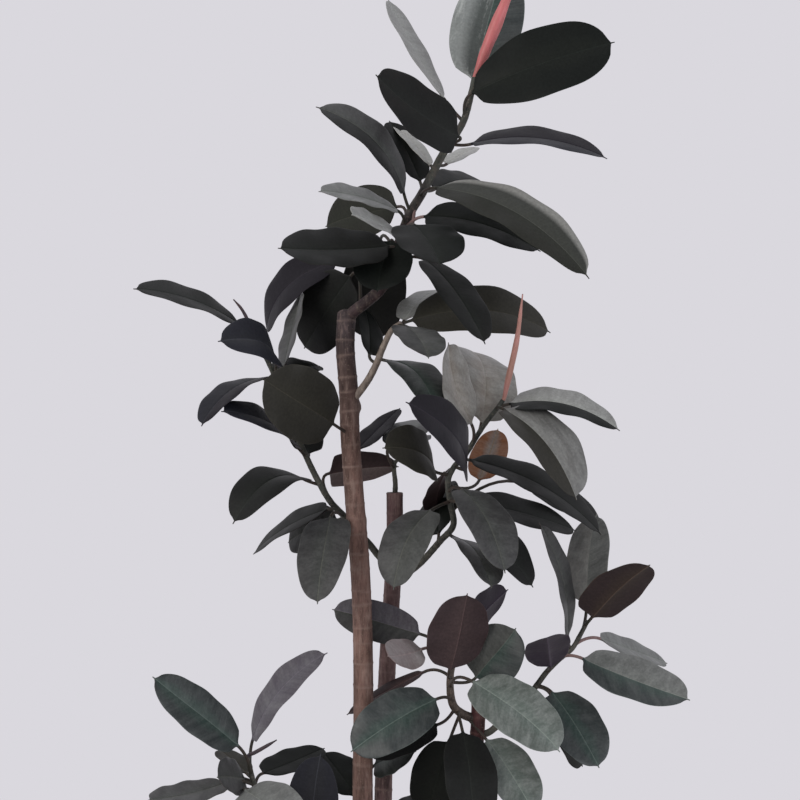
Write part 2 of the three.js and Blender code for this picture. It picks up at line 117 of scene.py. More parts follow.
def bent(start: Array, middle: Array, end: Array, share: Array) -> Array:
    """A curve drawn to its middle: it weighs the three by (1-t) squared, 2t(1-t) and t squared."""
    return start * (1 - share) ** 2 + middle * 2 * share * (1 - share) + end * share**2


def around(count: int) -> Array:
    """Angles of evenly spaced corners all round, as one row."""
    return np.linspace(0, 2 * np.pi, count, endpoint=False)[None, :]


def side_by_side(*parts: Array) -> Array:
    """Arrays stretched to one shape and set side by side along a new last axis."""
    return np.stack(np.broadcast_arrays(*parts), -1)


def travelled(points: Array) -> Array:
    """How far along the line each of its points lies, in metres."""
    steps = np.linalg.norm(np.diff(points, axis=0), axis=1)
    return np.concatenate([[0.0], np.cumsum(steps)])


def ring_faces(rings: int, count: int) -> Array:
    """The four-sided faces between rings of points.

    Args:
        rings: how many rings there are.
        count: how many corners each has.

    Returns:
        The numbers of each face's four points, a row for each face.
    """
    ring = np.arange(rings - 1)[:, None] * count
    corner = np.arange(count)[None, :]
    a, b = ring + corner, ring + (corner + 1) % count
    return np.stack([a, b, b + count, a + count], axis=-1).reshape(-1, 4)


@dataclass(frozen=True)
class Path3:
    """A smooth line through points: a centripetal Catmull-Rom curve, evenly spaced along itself.

    Between two points the line is a cubic whose slope at each of them comes from its neighbours,
    with the square root of each gap as the gap's own step.
    """

    knots: Array

    STEPS = 60  # parts of the line between two knots, before it is spaced evenly

    def points(self, count: int) -> Array:
        """Evenly spaced points along the line.

        Args:
            count: how many.

        Returns:
            An array of count rows and three columns.
        """
        knots = self.knots
        ends = np.vstack([2 * knots[0] - knots[1], knots, 2 * knots[-1] - knots[-2]])
        p0, p1, p2, p3 = (ends[i : len(ends) - 3 + i, None, :] for i in range(4))
        gap = [np.sqrt(np.linalg.norm(b - a, axis=-1, keepdims=True))
               for a, b in ((p0, p1), (p1, p2), (p2, p3))]
        slope1 = ((p1 - p0) / gap[0] - (p2 - p0) / (gap[0] + gap[1])) * gap[1] + (p2 - p1)
        slope2 = ((p3 - p2) / gap[2] - (p3 - p1) / (gap[1] + gap[2])) * gap[1] + (p2 - p1)
        t = np.linspace(0, 1, self.STEPS, endpoint=False)[None, :, None]
        dense = (p1 * (2 * t**3 - 3 * t**2 + 1) + slope1 * (t**3 - 2 * t**2 + t)
                 + p2 * (-2 * t**3 + 3 * t**2) + slope2 * (t**3 - t**2))
        dense = np.vstack([dense.reshape(-1, 3), knots[-1]])
        run = travelled(dense)
        wanted = np.linspace(0, run[-1], count)
        return np.stack([np.interp(wanted, run, dense[:, k]) for k in range(3)], axis=-1)

    def length(self) -> float:
        """The line's length in metres."""
        return float(travelled(self.points(SAMPLES))[-1])

    def nearest(self, spot: Spot) -> Array:
        """The point of the line that looks nearest to a spot of the front view.

        Args:
            spot: the spot's across and height, in millimetres.

        Returns:
            The point, in metres.
        """
        points = self.points(SAMPLES + 1)
        spread = (points[:, 1] - EYE[1]) / -EYE[1]
        seen_across = EYE[0] + (points[:, 0] - EYE[0]) / spread
        seen_height = EYE[2] + (points[:, 2] - EYE[2]) / spread
        away = np.hypot(seen_across - spot[0] * MM, seen_height - spot[1] * MM)
        return points[np.argmin(away)]


def frames(points: Array) -> tuple[Array, Array, Array]:
    """The way a line runs at each of its points, and two directions square to it.

    The first of the two is one fixed axis, the one least along the line, made square to it.

    Args:
        points: points along the line.

    Returns:
        The tangents, the sides and the ups, each with a row for each point.
    """
    tangent = unit(np.gradient(points, axis=0))
    axis = np.eye(3)[np.argmin(np.abs(tangent).max(axis=0))]
    side = unit(axis - tangent * (tangent @ axis)[:, None])
    return tangent, side, np.cross(tangent, side)


def outwards(side: Array, up: Array, angle: Array) -> Array:
    """The directions all round a line: the side times the cosine and the up times the sine."""
    return side[:, None] * np.cos(angle)[..., None] + up[:, None] * np.sin(angle)[..., None]


@dataclass
class Grid:
    """Points worked out on rings, each ring anticlockwise about the way the rings follow.

    Attributes:
        points: rings, corners and three coordinates.
        marks: what the material reads at each point, three numbers each.
        finish: which of the piece's materials each face has: ring gaps by corners.
        caps: the materials of the first and the last ring's closing faces.
    """

    points: Array
    marks: Array
    finish: Array
    caps: tuple[int, int]


@dataclass
class Piece:
    """One named thing of the plant: grids put into one mesh, with their materials.

    Attributes:
        name: the object's name.
        node: the frame's node that it stands for.
        slot: the name of a material slot, which is not used.
        materials: the materials, in the order in which the grids number them.
        grids: the grids.
    """

    name: str
    node: str
    slot: str
    materials: list[bpy.types.Material]
    grids: list[Grid] = field(default_factory=list)

    def mesh(self) -> bpy.types.Mesh:
        """Writes all grids, each with its two closing faces, into one smooth mesh.

        Returns:
            The mesh, with its materials and marks.
        """
        corners, sizes, finishes, points, marks = [], [], [], [], []
        base = 0
        for grid in self.grids:
            rings, count = grid.points.shape[:2]
            last = (rings - 1) * count + np.arange(count)
            corners += [base + ring_faces(rings, count).ravel(), base + np.arange(count)[::-1],
                        base + last]
            sizes += [np.full((rings - 1) * count, 4), [count, count]]
            finishes += [grid.finish.ravel(), grid.caps]
            points.append(grid.points.reshape(-1, 3))
            marks.append(grid.marks.reshape(-1, 3))
            base += rings * count
        size = np.concatenate(sizes)
        start = np.concatenate([[0], np.cumsum(size)[:-1]])
        mesh = bpy.data.meshes.new(self.name)
        mesh.vertices.add(base)
        mesh.vertices.foreach_set("co", np.concatenate(points).astype(np.float32).ravel())
        mesh.loops.add(int(size.sum()))
        mesh.loops.foreach_set("vertex_index", np.concatenate(corners).astype(np.int32))
        mesh.polygons.add(len(size))
        mesh.polygons.foreach_set("loop_start", start.astype(np.int32))
        mesh.polygons.foreach_set("material_index", np.concatenate(finishes).astype(np.int32))
        mesh.polygons.foreach_set("use_smooth", np.ones(len(size), bool))
        for material in self.materials:
            mesh.materials.append(material)
        mesh.update(calc_edges=True)
        mark = mesh.attributes.new("marks", "FLOAT_VECTOR", "POINT")
        mark.data.foreach_set("vector", np.concatenate(marks).astype(np.float32).ravel())
        mesh.validate()
        return mesh

    def build(self) -> bpy.types.Object:
        """Hangs the mesh on the frame, in the place of its node.

        Returns:
            The object, at the origin.
        """
        piece = bpy.data.objects.new(self.name, self.mesh())
        bpy.context.scene.collection.objects.link(piece)
        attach(piece, BODY)
        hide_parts(self.node)
        LOG.info("%s: %d faces", self.name, len(piece.data.polygons))
        return piece


def to_linear(colour: str) -> tuple[float, float, float, float]:
    """Turns an sRGB hex value into the linear colour that a shader takes.

    Args:
        colour: a # and six hex digits.

    Returns:
        Red, green and blue, each from 0 to 1, and an alpha of 1.
    """
    values = np.array([int(colour[i : i + 2], 16) for i in (1, 3, 5)]) / 255
    linear = np.where(values <= 0.04045, values / 12.92, ((values + 0.055) / 1.055) ** 2.4)
    return (*(float(v) for v in linear), 1.0)


def add(tree: bpy.types.NodeTree, kind: str, inputs: dict[str | int, Any] | Sequence[Any] = (),
        out: str | int = 0, **settings: Any) -> bpy.types.NodeSocket | None:
    """Adds a node with its settings, and sets or links its inputs.

    Args:
        tree: the node tree.
        kind: the node's type, without ShaderNode.
        inputs: what goes into the inputs, one after the other or by name or number: a value, a
            hex colour, or the socket that feeds it.
        out: the name or number of the output that is wanted.
        settings: the node's own settings.

    Returns:
        The output's socket, or nothing from a node that has none.
    """
    node = tree.nodes.new("ShaderNode" + kind)
    for name, value in settings.items():
        setattr(node, name, value)
    for name, value in inputs.items() if isinstance(inputs, dict) else enumerate(inputs):
        if isinstance(value, bpy.types.NodeSocket):
            tree.links.new(value, node.inputs[name])
        else:
            node.inputs[name].default_value = to_linear(value) if isinstance(value, str) else value
    return node.outputs[out] if node.outputs else None


def new_material(name: str) -> tuple[bpy.types.Material, bpy.types.NodeTree]:
    """Makes an empty node material.

    Args:
        name: its name.

    Returns:
        The material and its tree.
    """
    material = bpy.data.materials.new(name)
    material.use_nodes = True
    material.node_tree.nodes.clear()
    return material, material.node_tree


class Lay(Enum):
    """How a tone is laid over a colour."""

    OVER = "MIX"
    TIMES = "MULTIPLY"


@dataclass(frozen=True)
class Surface:
    """What a finish shows: tones laid over a base colour, a shine and a fine relief.

    Attributes:
        base: the colour below all the layers.
        layers: how much of each shows, its tone and how it is laid, from the lowest up.
        roughness: how matt it is.
        specular: how strong its shine is.
        height: the relief.
        relief_shows: how much the relief shows.
        relief: how deep the relief goes, in metres.
    """

    base: str
    layers: tuple[tuple[Any, Any, Lay], ...]
    roughness: bpy.types.NodeSocket | float
    specular: float
    height: bpy.types.NodeSocket
    relief_shows: float
    relief: float

    def put_on(self, tree: bpy.types.NodeTree) -> None:
        """Adds the surface and the material's output to a tree.

        Args:
            tree: the material's tree.
        """
        colour = self.base
        for share, tone, lay in self.layers:
            colour = add(tree, "Mix", {0: share, 6: colour, 7: tone}, 2, data_type="RGBA",
                         blend_type=lay.value)
        bump = add(tree, "Bump", {"Height": self.height, "Strength": self.relief_shows,
                                  "Distance": self.relief})
        shader = add(tree, "BsdfPrincipled", {
            "Base Color": colour, "Roughness": self.roughness, "Normal": bump,
            "Specular IOR Level": self.specular})
        add(tree, "OutputMaterial", [shader])


# Nearly all values of a noise lie between these two.
NOISE_LOW, NOISE_HIGH = 0.3, 0.7


@dataclass(frozen=True)
class LeafSkin:
    """Rubber-fig leaf: a thick blade under natural wax.

    The wax gives a soft gloss with pale streaks that follow the side veins: wax bloom,
    and on the lit looks painted sheen and painted reflections. The thin margin is the
    leaf's own; where a look makes it broad and pale, it is a painted highlight. The midrib
    shows as a thin line, and the side veins, some 5 mm apart, run nearly square to it and
    are hardly seen. The marks hold each point's distance from the midrib, its distance
    from the foot and the half width there, all in metres.

    Attributes:
        name: the material's name.
        blade: the colour towards the margin.
        heart: the colour along the midrib.
        midrib: the colour of the midrib and the veins.
        roughness: how matt the wax is.
        specular: how strong its shine is.
        vein: how much the side veins show.
        bloom: how much the pale streaks show: wax bloom, and painted sheen on the lit looks.
        streak: how a streak is pressed across the blade and along it: less is longer.
        blur: how softly a streak ends.
        drift: how far the streaks stray from the veins.
        margin: where the margin's tone begins, as a share of the half width.
        margin_shows: how much of the margin's tone shows.
        margin_colour: the margin's tone, or the midrib's where none is given; a pale tone on
        a broad margin is a painted highlight.
    """

    name: str
    blade: str
    heart: str
    midrib: str
    roughness: float = 0.45
    specular: float = 0.12
    vein: float = 0.05
    bloom: float = 0.0
    streak: tuple[float, float] = (0.22, 1.0)
    blur: float = 0.42
    drift: float = 0.35
    margin: float = 0.965
    margin_shows: float = 0.3
    margin_colour: str = ""

    PATCH = 33 * MM  # size of the clouds of tone
    GRAIN = 3.8 * MM  # size of the fine mottling
    VEIN_GAP = 5 * MM
    VEIN_SLANT = 0.36  # steps to the tip for each step to the margin
    VEIN_WAVER = 1.4  # how far the noise moves a vein, in gaps
    VEIN_FROM = 0.7  # share of the way to a vein where it begins to show
    VEIN_FADES = (0.5, 0.95)  # shares of the half width between which the veins fade
    STREAK_GAP = 13 * MM
    STREAK_LEVEL = 0.59  # the noise's value in the middle of a streak's edge
    MIDRIB_HALF = 0.8 * MM
    MIDRIB_EDGE = (0.4, 1.5)  # shares of the midrib's half width between which it fades
    MIDRIB_SHOWS = 0.6
    HEART_REACH = (1.5, -0.15)  # the heart's share of the half width: noise times this, plus this
    MOTTLE = (0.84, 1.14)  # brightness where the fine noise is low and where it is high
    ROUGHER = (-0.05, 0.09)  # what the broad noise adds to the roughness, low and high
    VEIN_SINKS = -1.5  # how far a vein sinks, for each step that the broad noise rises
    GRAIN_STANDS = 0.06  # and how far the fine noise rises
    RELIEF = 1.2 * MM
    RELIEF_SHOWS = 0.55
    # the streaks' colour: pale wax bloom, and painted sheen and reflections on the lit looks
    BLOOM_AND_SHEEN_COLOUR = "#b4b8b4"

    def streaks(self, tree: bpy.types.NodeTree, across: bpy.types.NodeSocket,
                slant: bpy.types.NodeSocket, coords: bpy.types.NodeSocket) -> bpy.types.NodeSocket:
        """The pale streaks of wax bloom and painted sheen: a noise drawn out along the veins.

        Args:
            tree: the node tree.
            across: the distance from the midrib, with its side.
            slant: the distance along the blade at which the vein through a point leaves the midrib.
            coords: the object's own coordinates.

        Returns:
            How much of the pale streaks lies on each point.
        """
        flow = add(tree, "CombineXYZ", [across, slant])
        flow = add(tree, "Mapping", {"Vector": flow, "Scale": (*self.streak, 1.0)})
        flow = add(tree, "VectorMath", [coords, (self.drift,) * 3, flow],
                   operation="MULTIPLY_ADD")
        noise = add(tree, "TexNoise", {"Vector": flow, "Scale": 1 / self.STREAK_GAP,
                                       "Detail": 5.0, "Roughness": 0.7})
        edge = self.blur / 2
        return add(tree, "MapRange", [noise, self.STREAK_LEVEL - edge, self.STREAK_LEVEL + edge,
                                      0.0, self.bloom])

    def veins(self, tree: bpy.types.NodeTree, slant: bpy.types.NodeSocket,
              share: bpy.types.NodeSocket, broad: bpy.types.NodeSocket) -> bpy.types.NodeSocket:
        """The side veins: lines at even steps of the slant, moved a little by a noise.

        Args:
            tree: the node tree.
            slant: as for the streaks.
            share: the distance from the midrib as a share of the half width.
            broad: the broad noise.

        Returns:
            How much vein lies on each point.
        """
        waver = add(tree, "Math", [broad, self.VEIN_WAVER], operation="MULTIPLY")
        beat = add(tree, "Math", [slant, 1 / self.VEIN_GAP, waver], operation="MULTIPLY_ADD")
        turn = add(tree, "Math", [beat, 1.0], operation="PINGPONG")
        line = add(tree, "MapRange", [turn, self.VEIN_FROM, 1.0, 0.0, 1.0],
                   interpolation_type="SMOOTHSTEP")
        fade = add(tree, "MapRange", [share, *self.VEIN_FADES, self.vein, 0.0])
        return add(tree, "Math", [line, fade], operation="MULTIPLY")

    def material(self) -> bpy.types.Material:
        """The finish as a node material.

        Returns:
            The material.
        """
        material, tree = new_material(self.name)
        marks = add(tree, "Attribute", out="Vector", attribute_name="marks")
        across, along, half = add(tree, "SeparateXYZ", [marks]).node.outputs
        off = add(tree, "Math", [across], operation="ABSOLUTE")
        share = add(tree, "Math", [off, half], operation="DIVIDE")
        coords = add(tree, "TexCoord", out="Object")
        broad = add(tree, "TexNoise", {"Vector": coords, "Scale": 1 / self.PATCH, "Detail": 3.0})
        fine = add(tree, "TexNoise", {"Vector": coords, "Scale": 1 / self.GRAIN, "Detail": 4.0})
        slant = add(tree, "Math", [off, -self.VEIN_SLANT, along], operation="MULTIPLY_ADD")

        reach = add(tree, "Math", [broad, *self.HEART_REACH], operation="MULTIPLY_ADD")
        heart = add(tree, "MapRange", [share, 0.0, reach, 1.0, 0.0],
                    interpolation_type="SMOOTHSTEP")
        # pale streaks: wax bloom, and painted sheen on the lit looks
        bloom = self.streaks(tree, across, slant, coords)
        vein = self.veins(tree, slant, share, broad)
        inner, outer = (edge * self.MIDRIB_HALF for edge in self.MIDRIB_EDGE)
        rib = add(tree, "MapRange", [off, inner, outer, self.MIDRIB_SHOWS, 0.0],
                  interpolation_type="SMOOTHSTEP")
        # the margin's tone: a thin pale edge, which on a broad margin is a painted highlight
        rim = add(tree, "MapRange", [share, self.margin, (1 + self.margin) / 2, 0.0,
                                     self.margin_shows])
        mottle = add(tree, "MapRange", [fine, NOISE_LOW, NOISE_HIGH, *self.MOTTLE])
        layers = ((heart, self.heart, Lay.OVER), (bloom, self.BLOOM_AND_SHEEN_COLOUR, Lay.OVER),
                  (vein, self.midrib, Lay.OVER), (rib, self.midrib, Lay.OVER),
                  (rim, self.margin_colour or self.midrib, Lay.OVER), (1.0, mottle, Lay.TIMES))

        rough = add(tree, "MapRange", [broad, NOISE_LOW, NOISE_HIGH,
                                       *(self.roughness + more for more in self.ROUGHER)])
        height = add(tree, "Math", [vein, self.VEIN_SINKS, broad], operation="MULTIPLY_ADD")
        height = add(tree, "Math", [fine, self.GRAIN_STANDS, height], operation="MULTIPLY_ADD")
        Surface(self.blade, layers, rough, self.specular, height, self.RELIEF_SHOWS,
                self.RELIEF).put_on(tree)
        return material


@dataclass(frozen=True)
class Bark:
    """Rubber-fig bark: thin, dry and matt, with rings where old leaves left their scars.

    Its colour changes with its height, and it is speckled with pale breathing pores a few
    millimetres apart and clouded with pale and dark spots. All but the pores is drawn out along
    the height. The marks hold how much of a scar each point has, its height and its angle.

    Attributes:
        name: the material's name.
        low: the colour low down.
        high: the colour higher up.
        scar: the colour of scars and of pale spots.
        turn_from: the height in metres where the colour begins to change.
        turn_to: the height in metres where it has changed.
        roughness: how matt it is.
        mottle: how much the spots show.
    """

    name: str
    low: str
    high: str
    scar: str
    turn_from: float
    turn_to: float
    roughness: float = 0.72
    mottle: float = 0.45

    PATCH = 22 * MM  # size of the clouds of tone
    GRAIN = 2.4 * MM  # size of the fine grain
    SPOT = 6 * MM  # size of the pale and the dark spots
    PORE_GAP = 4.4 * MM  # coarser than real, so that the pores show in the render
    DRAWN_OUT = (1.0, 1.0, 0.2)  # less than 1 draws the noises out along the height
    UNEVEN = 0.25  # metres by which the noise, from 0 to 1, moves the change of colour
    UNEVEN_MIDDLE = 0.12  # and by which it moves it on average
    PATCH_TONES = (0.35, 0.65, 0.55, 1.4)  # from these values of the noise, to these brightnesses
    GRAIN_TONES = (NOISE_LOW, NOISE_HIGH, 0.78, 1.2)
    PALE_SPOT = (0.52, 0.68)  # values of the noise where a pale spot sets in and is full
    DARK_SPOT = (0.3, 0.46)  # and where a dark spot is full and ends
    SCAR_SHOWS = 0.55
    PORE_EDGE = (0.16, 0.3)  # shares of the gap between which a pore fades
    PORE_SHOWS = 0.2
    PORE_STANDS = 0.5  # how far a pore rises, for each step that the grain does
    PORE_COLOUR = "#8f806f"
    SPECULAR = 0.25
    RELIEF = 0.6 * MM
    RELIEF_SHOWS = 0.6

    def material(self) -> bpy.types.Material:
        """The finish as a node material.

        Returns:
            The material.
        """
        material, tree = new_material(self.name)
        marks = add(tree, "Attribute", out="Vector", attribute_name="marks")
        scar, tall, _ = add(tree, "SeparateXYZ", [marks]).node.outputs
        coords = add(tree, "TexCoord", out="Object")
        drawn = add(tree, "Mapping", {"Vector": coords, "Scale": self.DRAWN_OUT})
        broad, fine, spots = (
            add(tree, "TexNoise", {"Vector": drawn, "Scale": 1 / size, "Detail": detail,
                                   "Roughness": rough})
            for size, detail, rough in ((self.PATCH, 5.0, 0.65), (self.GRAIN, 5.0, 0.7),
                                        (self.SPOT, 3.0, 0.6)))
        pores = add(tree, "TexVoronoi", {"Vector": coords, "Scale": 1 / self.PORE_GAP})

        place = add(tree, "Math", [broad, self.UNEVEN, tall], operation="MULTIPLY_ADD")
        change = add(tree, "MapRange", [place, self.turn_from + self.UNEVEN_MIDDLE,
                                        self.turn_to + self.UNEVEN_MIDDLE],
                     interpolation_type="SMOOTHSTEP")
        patch = add(tree, "MapRange", [broad, *self.PATCH_TONES])
        pale = add(tree, "MapRange", [spots, *self.PALE_SPOT, 0.0, self.mottle])
        dark = add(tree, "MapRange", [spots, *self.DARK_SPOT, 1 - self.mottle, 1.0])
        grain = add(tree, "MapRange", [fine, *self.GRAIN_TONES])
        worn = add(tree, "Math", [scar, self.SCAR_SHOWS], operation="MULTIPLY")
        dot = add(tree, "MapRange", [pores, *self.PORE_EDGE, self.PORE_SHOWS, 0.0])
        layers = ((change, self.high, Lay.OVER), (1.0, patch, Lay.TIMES),
                  (pale, self.scar, Lay.OVER), (1.0, dark, Lay.TIMES), (1.0, grain, Lay.TIMES),
                  (worn, self.scar, Lay.OVER), (dot, self.PORE_COLOUR, Lay.OVER))
        height = add(tree, "Math", [dot, self.PORE_STANDS, fine], operation="MULTIPLY_ADD")
        Surface(self.low, layers, self.roughness, self.SPECULAR, height, self.RELIEF_SHOWS,
                self.RELIEF).put_on(tree)
        return material


@dataclass(frozen=True)
class Speckled:
    """A matt or satin stuff of two mixed tones: stem skin, sheath, cut wood, clay or soil.

    Two noises, one broad and one fine, mix the tones and roughen the surface, and the whole can
    be drawn out along the height, as fibres and throwing lines are.

    Attributes:
        name: the material's name.
        first: the one tone.
        second: the other.
        grain_mm: the fine noise's size.
        roughness: how matt it is.
        relief_mm: how deep the grain goes.
        specular: how strong its shine is.
        drawn_out: how much the noises are pressed along the height: less than 1 is longer.
    """

    name: str
    first: str
    second: str
    grain_mm: float
    roughness: float
    relief_mm: float
    specular: float = 0.3
    drawn_out: float = 1.0

    BROADER = 6  # how many grains wide the broad noise is
    TONE_SPAN = (0.75, 1.25)  # values of both noises together between which the tones change
    ROUGHER = 0.06
    RELIEF_SHOWS = 0.6

    def material(self) -> bpy.types.Material:
        """The finish as a node material.

        Returns:
            The material.
        """
        material, tree = new_material(self.name)
        coords = add(tree, "TexCoord", out="Object")
        drawn = add(tree, "Mapping", {"Vector": coords, "Scale": (1.0, 1.0, self.drawn_out)})
        scale = 1 / (self.grain_mm * MM)
        broad = add(tree, "TexNoise", {"Vector": drawn, "Scale": scale / self.BROADER,
                                       "Detail": 4.0})
        fine = add(tree, "TexNoise", {"Vector": drawn, "Scale": scale, "Detail": 4.0,
                                      "Roughness": 0.6})
        mixed = add(tree, "Math", [broad, fine], operation="ADD")
        share = add(tree, "MapRange", [mixed, *self.TONE_SPAN])
        rough = add(tree, "MapRange", [fine, NOISE_LOW, NOISE_HIGH, self.roughness - self.ROUGHER,
                                       self.roughness + self.ROUGHER])
        Surface(self.first, ((share, self.second, Lay.OVER),), rough, self.specular, fine,
                self.RELIEF_SHOWS, self.relief_mm * MM).put_on(tree)
        return material


class Look(Enum):
    """How a leaf's upper face and its underside look, by its age and by how much wax it wears.

    Most looks are lit and shaded copies of one dark waxy leaf, with the light and shade
    painted into their colours: darker where the leaf lies in shade, and paler, bluer or
    warmer where light falls on it. The young, purple and dying looks hold the leaf's own
    colours.
    """

    # Deep in the plant's own shade: nearly black, and no gloss to speak of.
    BLACK = (
        LeafSkin("waxy leaf, black green", "#141715", "#181b18", "#1f2420", 0.5, 0.08, 0.03),
        LeafSkin("leaf underside, black wine", "#1d1718", "#211b1b", "#3b302f", 0.55, 0.1))
    # The usual old leaf: near black and matt under its wax.
    DARK = (
        LeafSkin("waxy leaf, dark", "#1c1d1c", "#1f211f", "#2a2d2a", 0.5, 0.1, 0.04),
        LeafSkin("leaf underside, dull wine", "#241b1d", "#291f20", "#453636", 0.55, 0.12))
    # The dark leaf in cool light from the side, which turns it blue.
    INK = (
        LeafSkin("waxy leaf, ink blue", "#202127", "#242529", "#3a3c42", 0.5, 0.12, 0.05),
        LeafSkin("leaf underside, ink wine", "#262027", "#2a242a", "#453c44", 0.55, 0.12))
    # A dark leaf in warm light, which turns it olive.
    OLIVE = (
        LeafSkin("waxy leaf, olive", "#2b2a25", "#2f2e28", "#413f36", 0.48, 0.14, 0.05),
        LeafSkin("leaf underside, olive wine", "#302727", "#362d29", "#5a4b40", 0.55, 0.14))
    # Olive too, but further in and so darker.
    SHADE = (
        LeafSkin("waxy leaf, shaded olive", "#23241f", "#252721", "#35362f", 0.5, 0.12, 0.04),
        LeafSkin("leaf underside, shaded wine", "#2a2223", "#2f2625", "#4c3f3b", 0.55, 0.13))
    # A healthy blade in half light: deep green, with paler veins.
    GREEN = (
        LeafSkin("waxy leaf, deep green", "#202422", "#242f2a", "#49524c", 0.42, 0.18, 0.08,
                 0.07),
        LeafSkin("leaf underside, green wine", "#30292a", "#382f2d", "#5f5249", 0.55, 0.14))
    # A blade that catches cool light along a sea green heart.
    SEA = (
        LeafSkin("waxy leaf, sea green heart", "#2e3333", "#2d3c37", "#5a6660", 0.38, 0.22,
                 0.06, 0.09),
        LeafSkin("leaf underside, grey wine", "#3b3033", "#443839", "#6a5c5e", 0.5, 0.2))
    # The big young leaf with a wet gloss: its long pale streaks and its pale margin band are
    # painted reflections of the light.
    MIRROR = (
        LeafSkin("waxy leaf, wet gloss", "#3f4442", "#464c49", "#69716c", 0.3, 0.3, 0.06, 1.0,
                 streak=(0.7, 0.04), blur=0.22, drift=0.1, margin=0.3, margin_shows=0.42,
                 margin_colour="#a4aaa7"),
        LeafSkin("leaf underside, green black", "#26282a", "#2b2e2e", "#454a48", 0.5, 0.15))
    # Nearly black with a purple cast, as young wax gives it.
    PLUM = (
        LeafSkin("waxy leaf, plum black", "#1b191e", "#1e1c21", "#2d2a31", 0.5, 0.1, 0.04),
        LeafSkin("leaf underside, plum", "#252027", "#29242b", "#3f3842", 0.55, 0.12))
    # Dark, with a broad pale margin: a painted highlight where the blade curls to the light.
    RIMMED = (
        LeafSkin("waxy leaf, pale margin", "#2f312d", "#31332e", "#4b4d47", 0.42, 0.18, 0.06,
                 margin=0.55, margin_shows=0.5, margin_colour="#9b9b96"),
        LeafSkin("leaf underside, brown wine", "#302827", "#352c2a", "#574a44", 0.55, 0.14))
    # A plain even grey, lit from above.
    SLATE = (
        LeafSkin("waxy leaf, plain slate", "#3b3d3b", "#3e403d", "#51534d", 0.45, 0.18, 0.05,
                 0.08),
        LeafSkin("leaf underside, dim wine", "#352c2d", "#3b3132", "#594c4c", 0.5, 0.15))
    # A lit grey blade: long pale streaks along the veins, painted sheen over wax bloom.
    SILVER = (
        LeafSkin("waxy leaf, silver bloom", "#585856", "#60605d", "#7a7b76", 0.38, 0.3, 0.05,
                 0.25, streak=(1.0, 0.25)),
        LeafSkin("leaf underside, silver bloom", "#57504f", "#605a58", "#7c7672", 0.5, 0.2))
    # Small young leaves that take the light at a glancing angle: nearly white with painted sheen.
    GLANCING_SHEEN = (
        LeafSkin("waxy leaf, frosty bloom", "#9a9b97", "#a0a19d", "#afb0aa", 0.4, 0.3, 0.05, 0.3),
        LeafSkin("leaf underside, frosty bloom", "#97938f", "#9f9b97", "#b0ada7", 0.5, 0.25))
    # Between dark and slate: the usual leaf in half light.
    MID = (
        LeafSkin("waxy leaf, slate", "#363636", "#393b39", "#55574f", 0.45, 0.18, 0.07, 0.08),
        LeafSkin("leaf underside, slate wine", "#332a2b", "#3a3030", "#5a4c4c", 0.5, 0.15))
    # Light from above on the wax: a grey sheen, with visible veins.
    GREY = (
        LeafSkin("waxy leaf, grey sheen", "#565856", "#5b5e5b", "#777b75", 0.4, 0.3, 0.1, 0.22),
        LeafSkin("leaf underside, soft wine", "#3f3638", "#493e40", "#6d6062", 0.5, 0.2))
    # The same sheen over a greener blade.
    MOSS = (
        LeafSkin("waxy leaf, grey green", "#4e5550", "#545e58", "#7d877f", 0.38, 0.3, 0.12, 0.3),
        LeafSkin("leaf underside, grey moss", "#423b3a", "#4b4441", "#6d645e", 0.5, 0.2))
    # A blade turned to the light: painted sheen makes it pale all over, over a little wax bloom.
    PALE = (
        LeafSkin("waxy leaf, pale bloom", "#70716e", "#7b7d79", "#989b95", 0.4, 0.3, 0.05, 0.3),
        LeafSkin("leaf underside, pale bloom", "#5f5e5d", "#6a6968", "#87867f", 0.5, 0.25))
    # A grey purple blade that catches the light: streaks of painted sheen and bloom that stray.
    LILAC = (
        LeafSkin("waxy leaf, lilac bloom", "#68655f", "#736c63", "#85837b", 0.36, 0.35, 0.05, 0.4,
                 streak=(0.8, 0.3), drift=0.5),
        LeafSkin("leaf underside, lilac bloom", "#5b5256", "#625c5c", "#7a7274", 0.45, 0.3))
    # A young leaf, rosy under its bloom.
    PINK = (
        LeafSkin("waxy leaf, rosy bloom", "#6d6160", "#756a69", "#93827f", 0.42, 0.3, 0.1, 0.3),
        LeafSkin("leaf underside, rosy bloom", "#5d5150", "#655957", "#82706c", 0.5, 0.2))
    # A young leaf that is still wine red.
    WINE = (
        LeafSkin("waxy leaf, wine", "#382e2f", "#423534", "#5f4a49", 0.45, 0.14, 0.08),
        LeafSkin("leaf underside, wine", "#362b2c", "#3e3232", "#584645", 0.5, 0.15, 0.06))
    # A young purple leaf in the shade.
    PURPLE = (
        LeafSkin("waxy leaf, purple", "#28242b", "#2d2931", "#4a434e", 0.45, 0.14, 0.07),
        LeafSkin("leaf underside, purple", "#2d2731", "#332c37", "#4b4250", 0.5, 0.15, 0.05))
    # Purple under a dusty film.
    DUSTY = (
        LeafSkin("waxy leaf, dusty purple", "#47434a", "#4c4950", "#68636c", 0.45, 0.2, 0.06, 0.15),
        LeafSkin("leaf underside, dusty purple", "#3b353d", "#423c45", "#5d5661", 0.5, 0.15))
    # The one dying leaf: dry, matt and orange brown, with a greyer middle.
    BROWN = (
        LeafSkin("dying leaf, dry brown", "#69432c", "#6a625d", "#7f6a52", 0.6, 0.15, 0.2, 0.12),
        LeafSkin("dying leaf, dry underside", "#6b4a35", "#776252", "#957a62", 0.7, 0.15, 0.2))


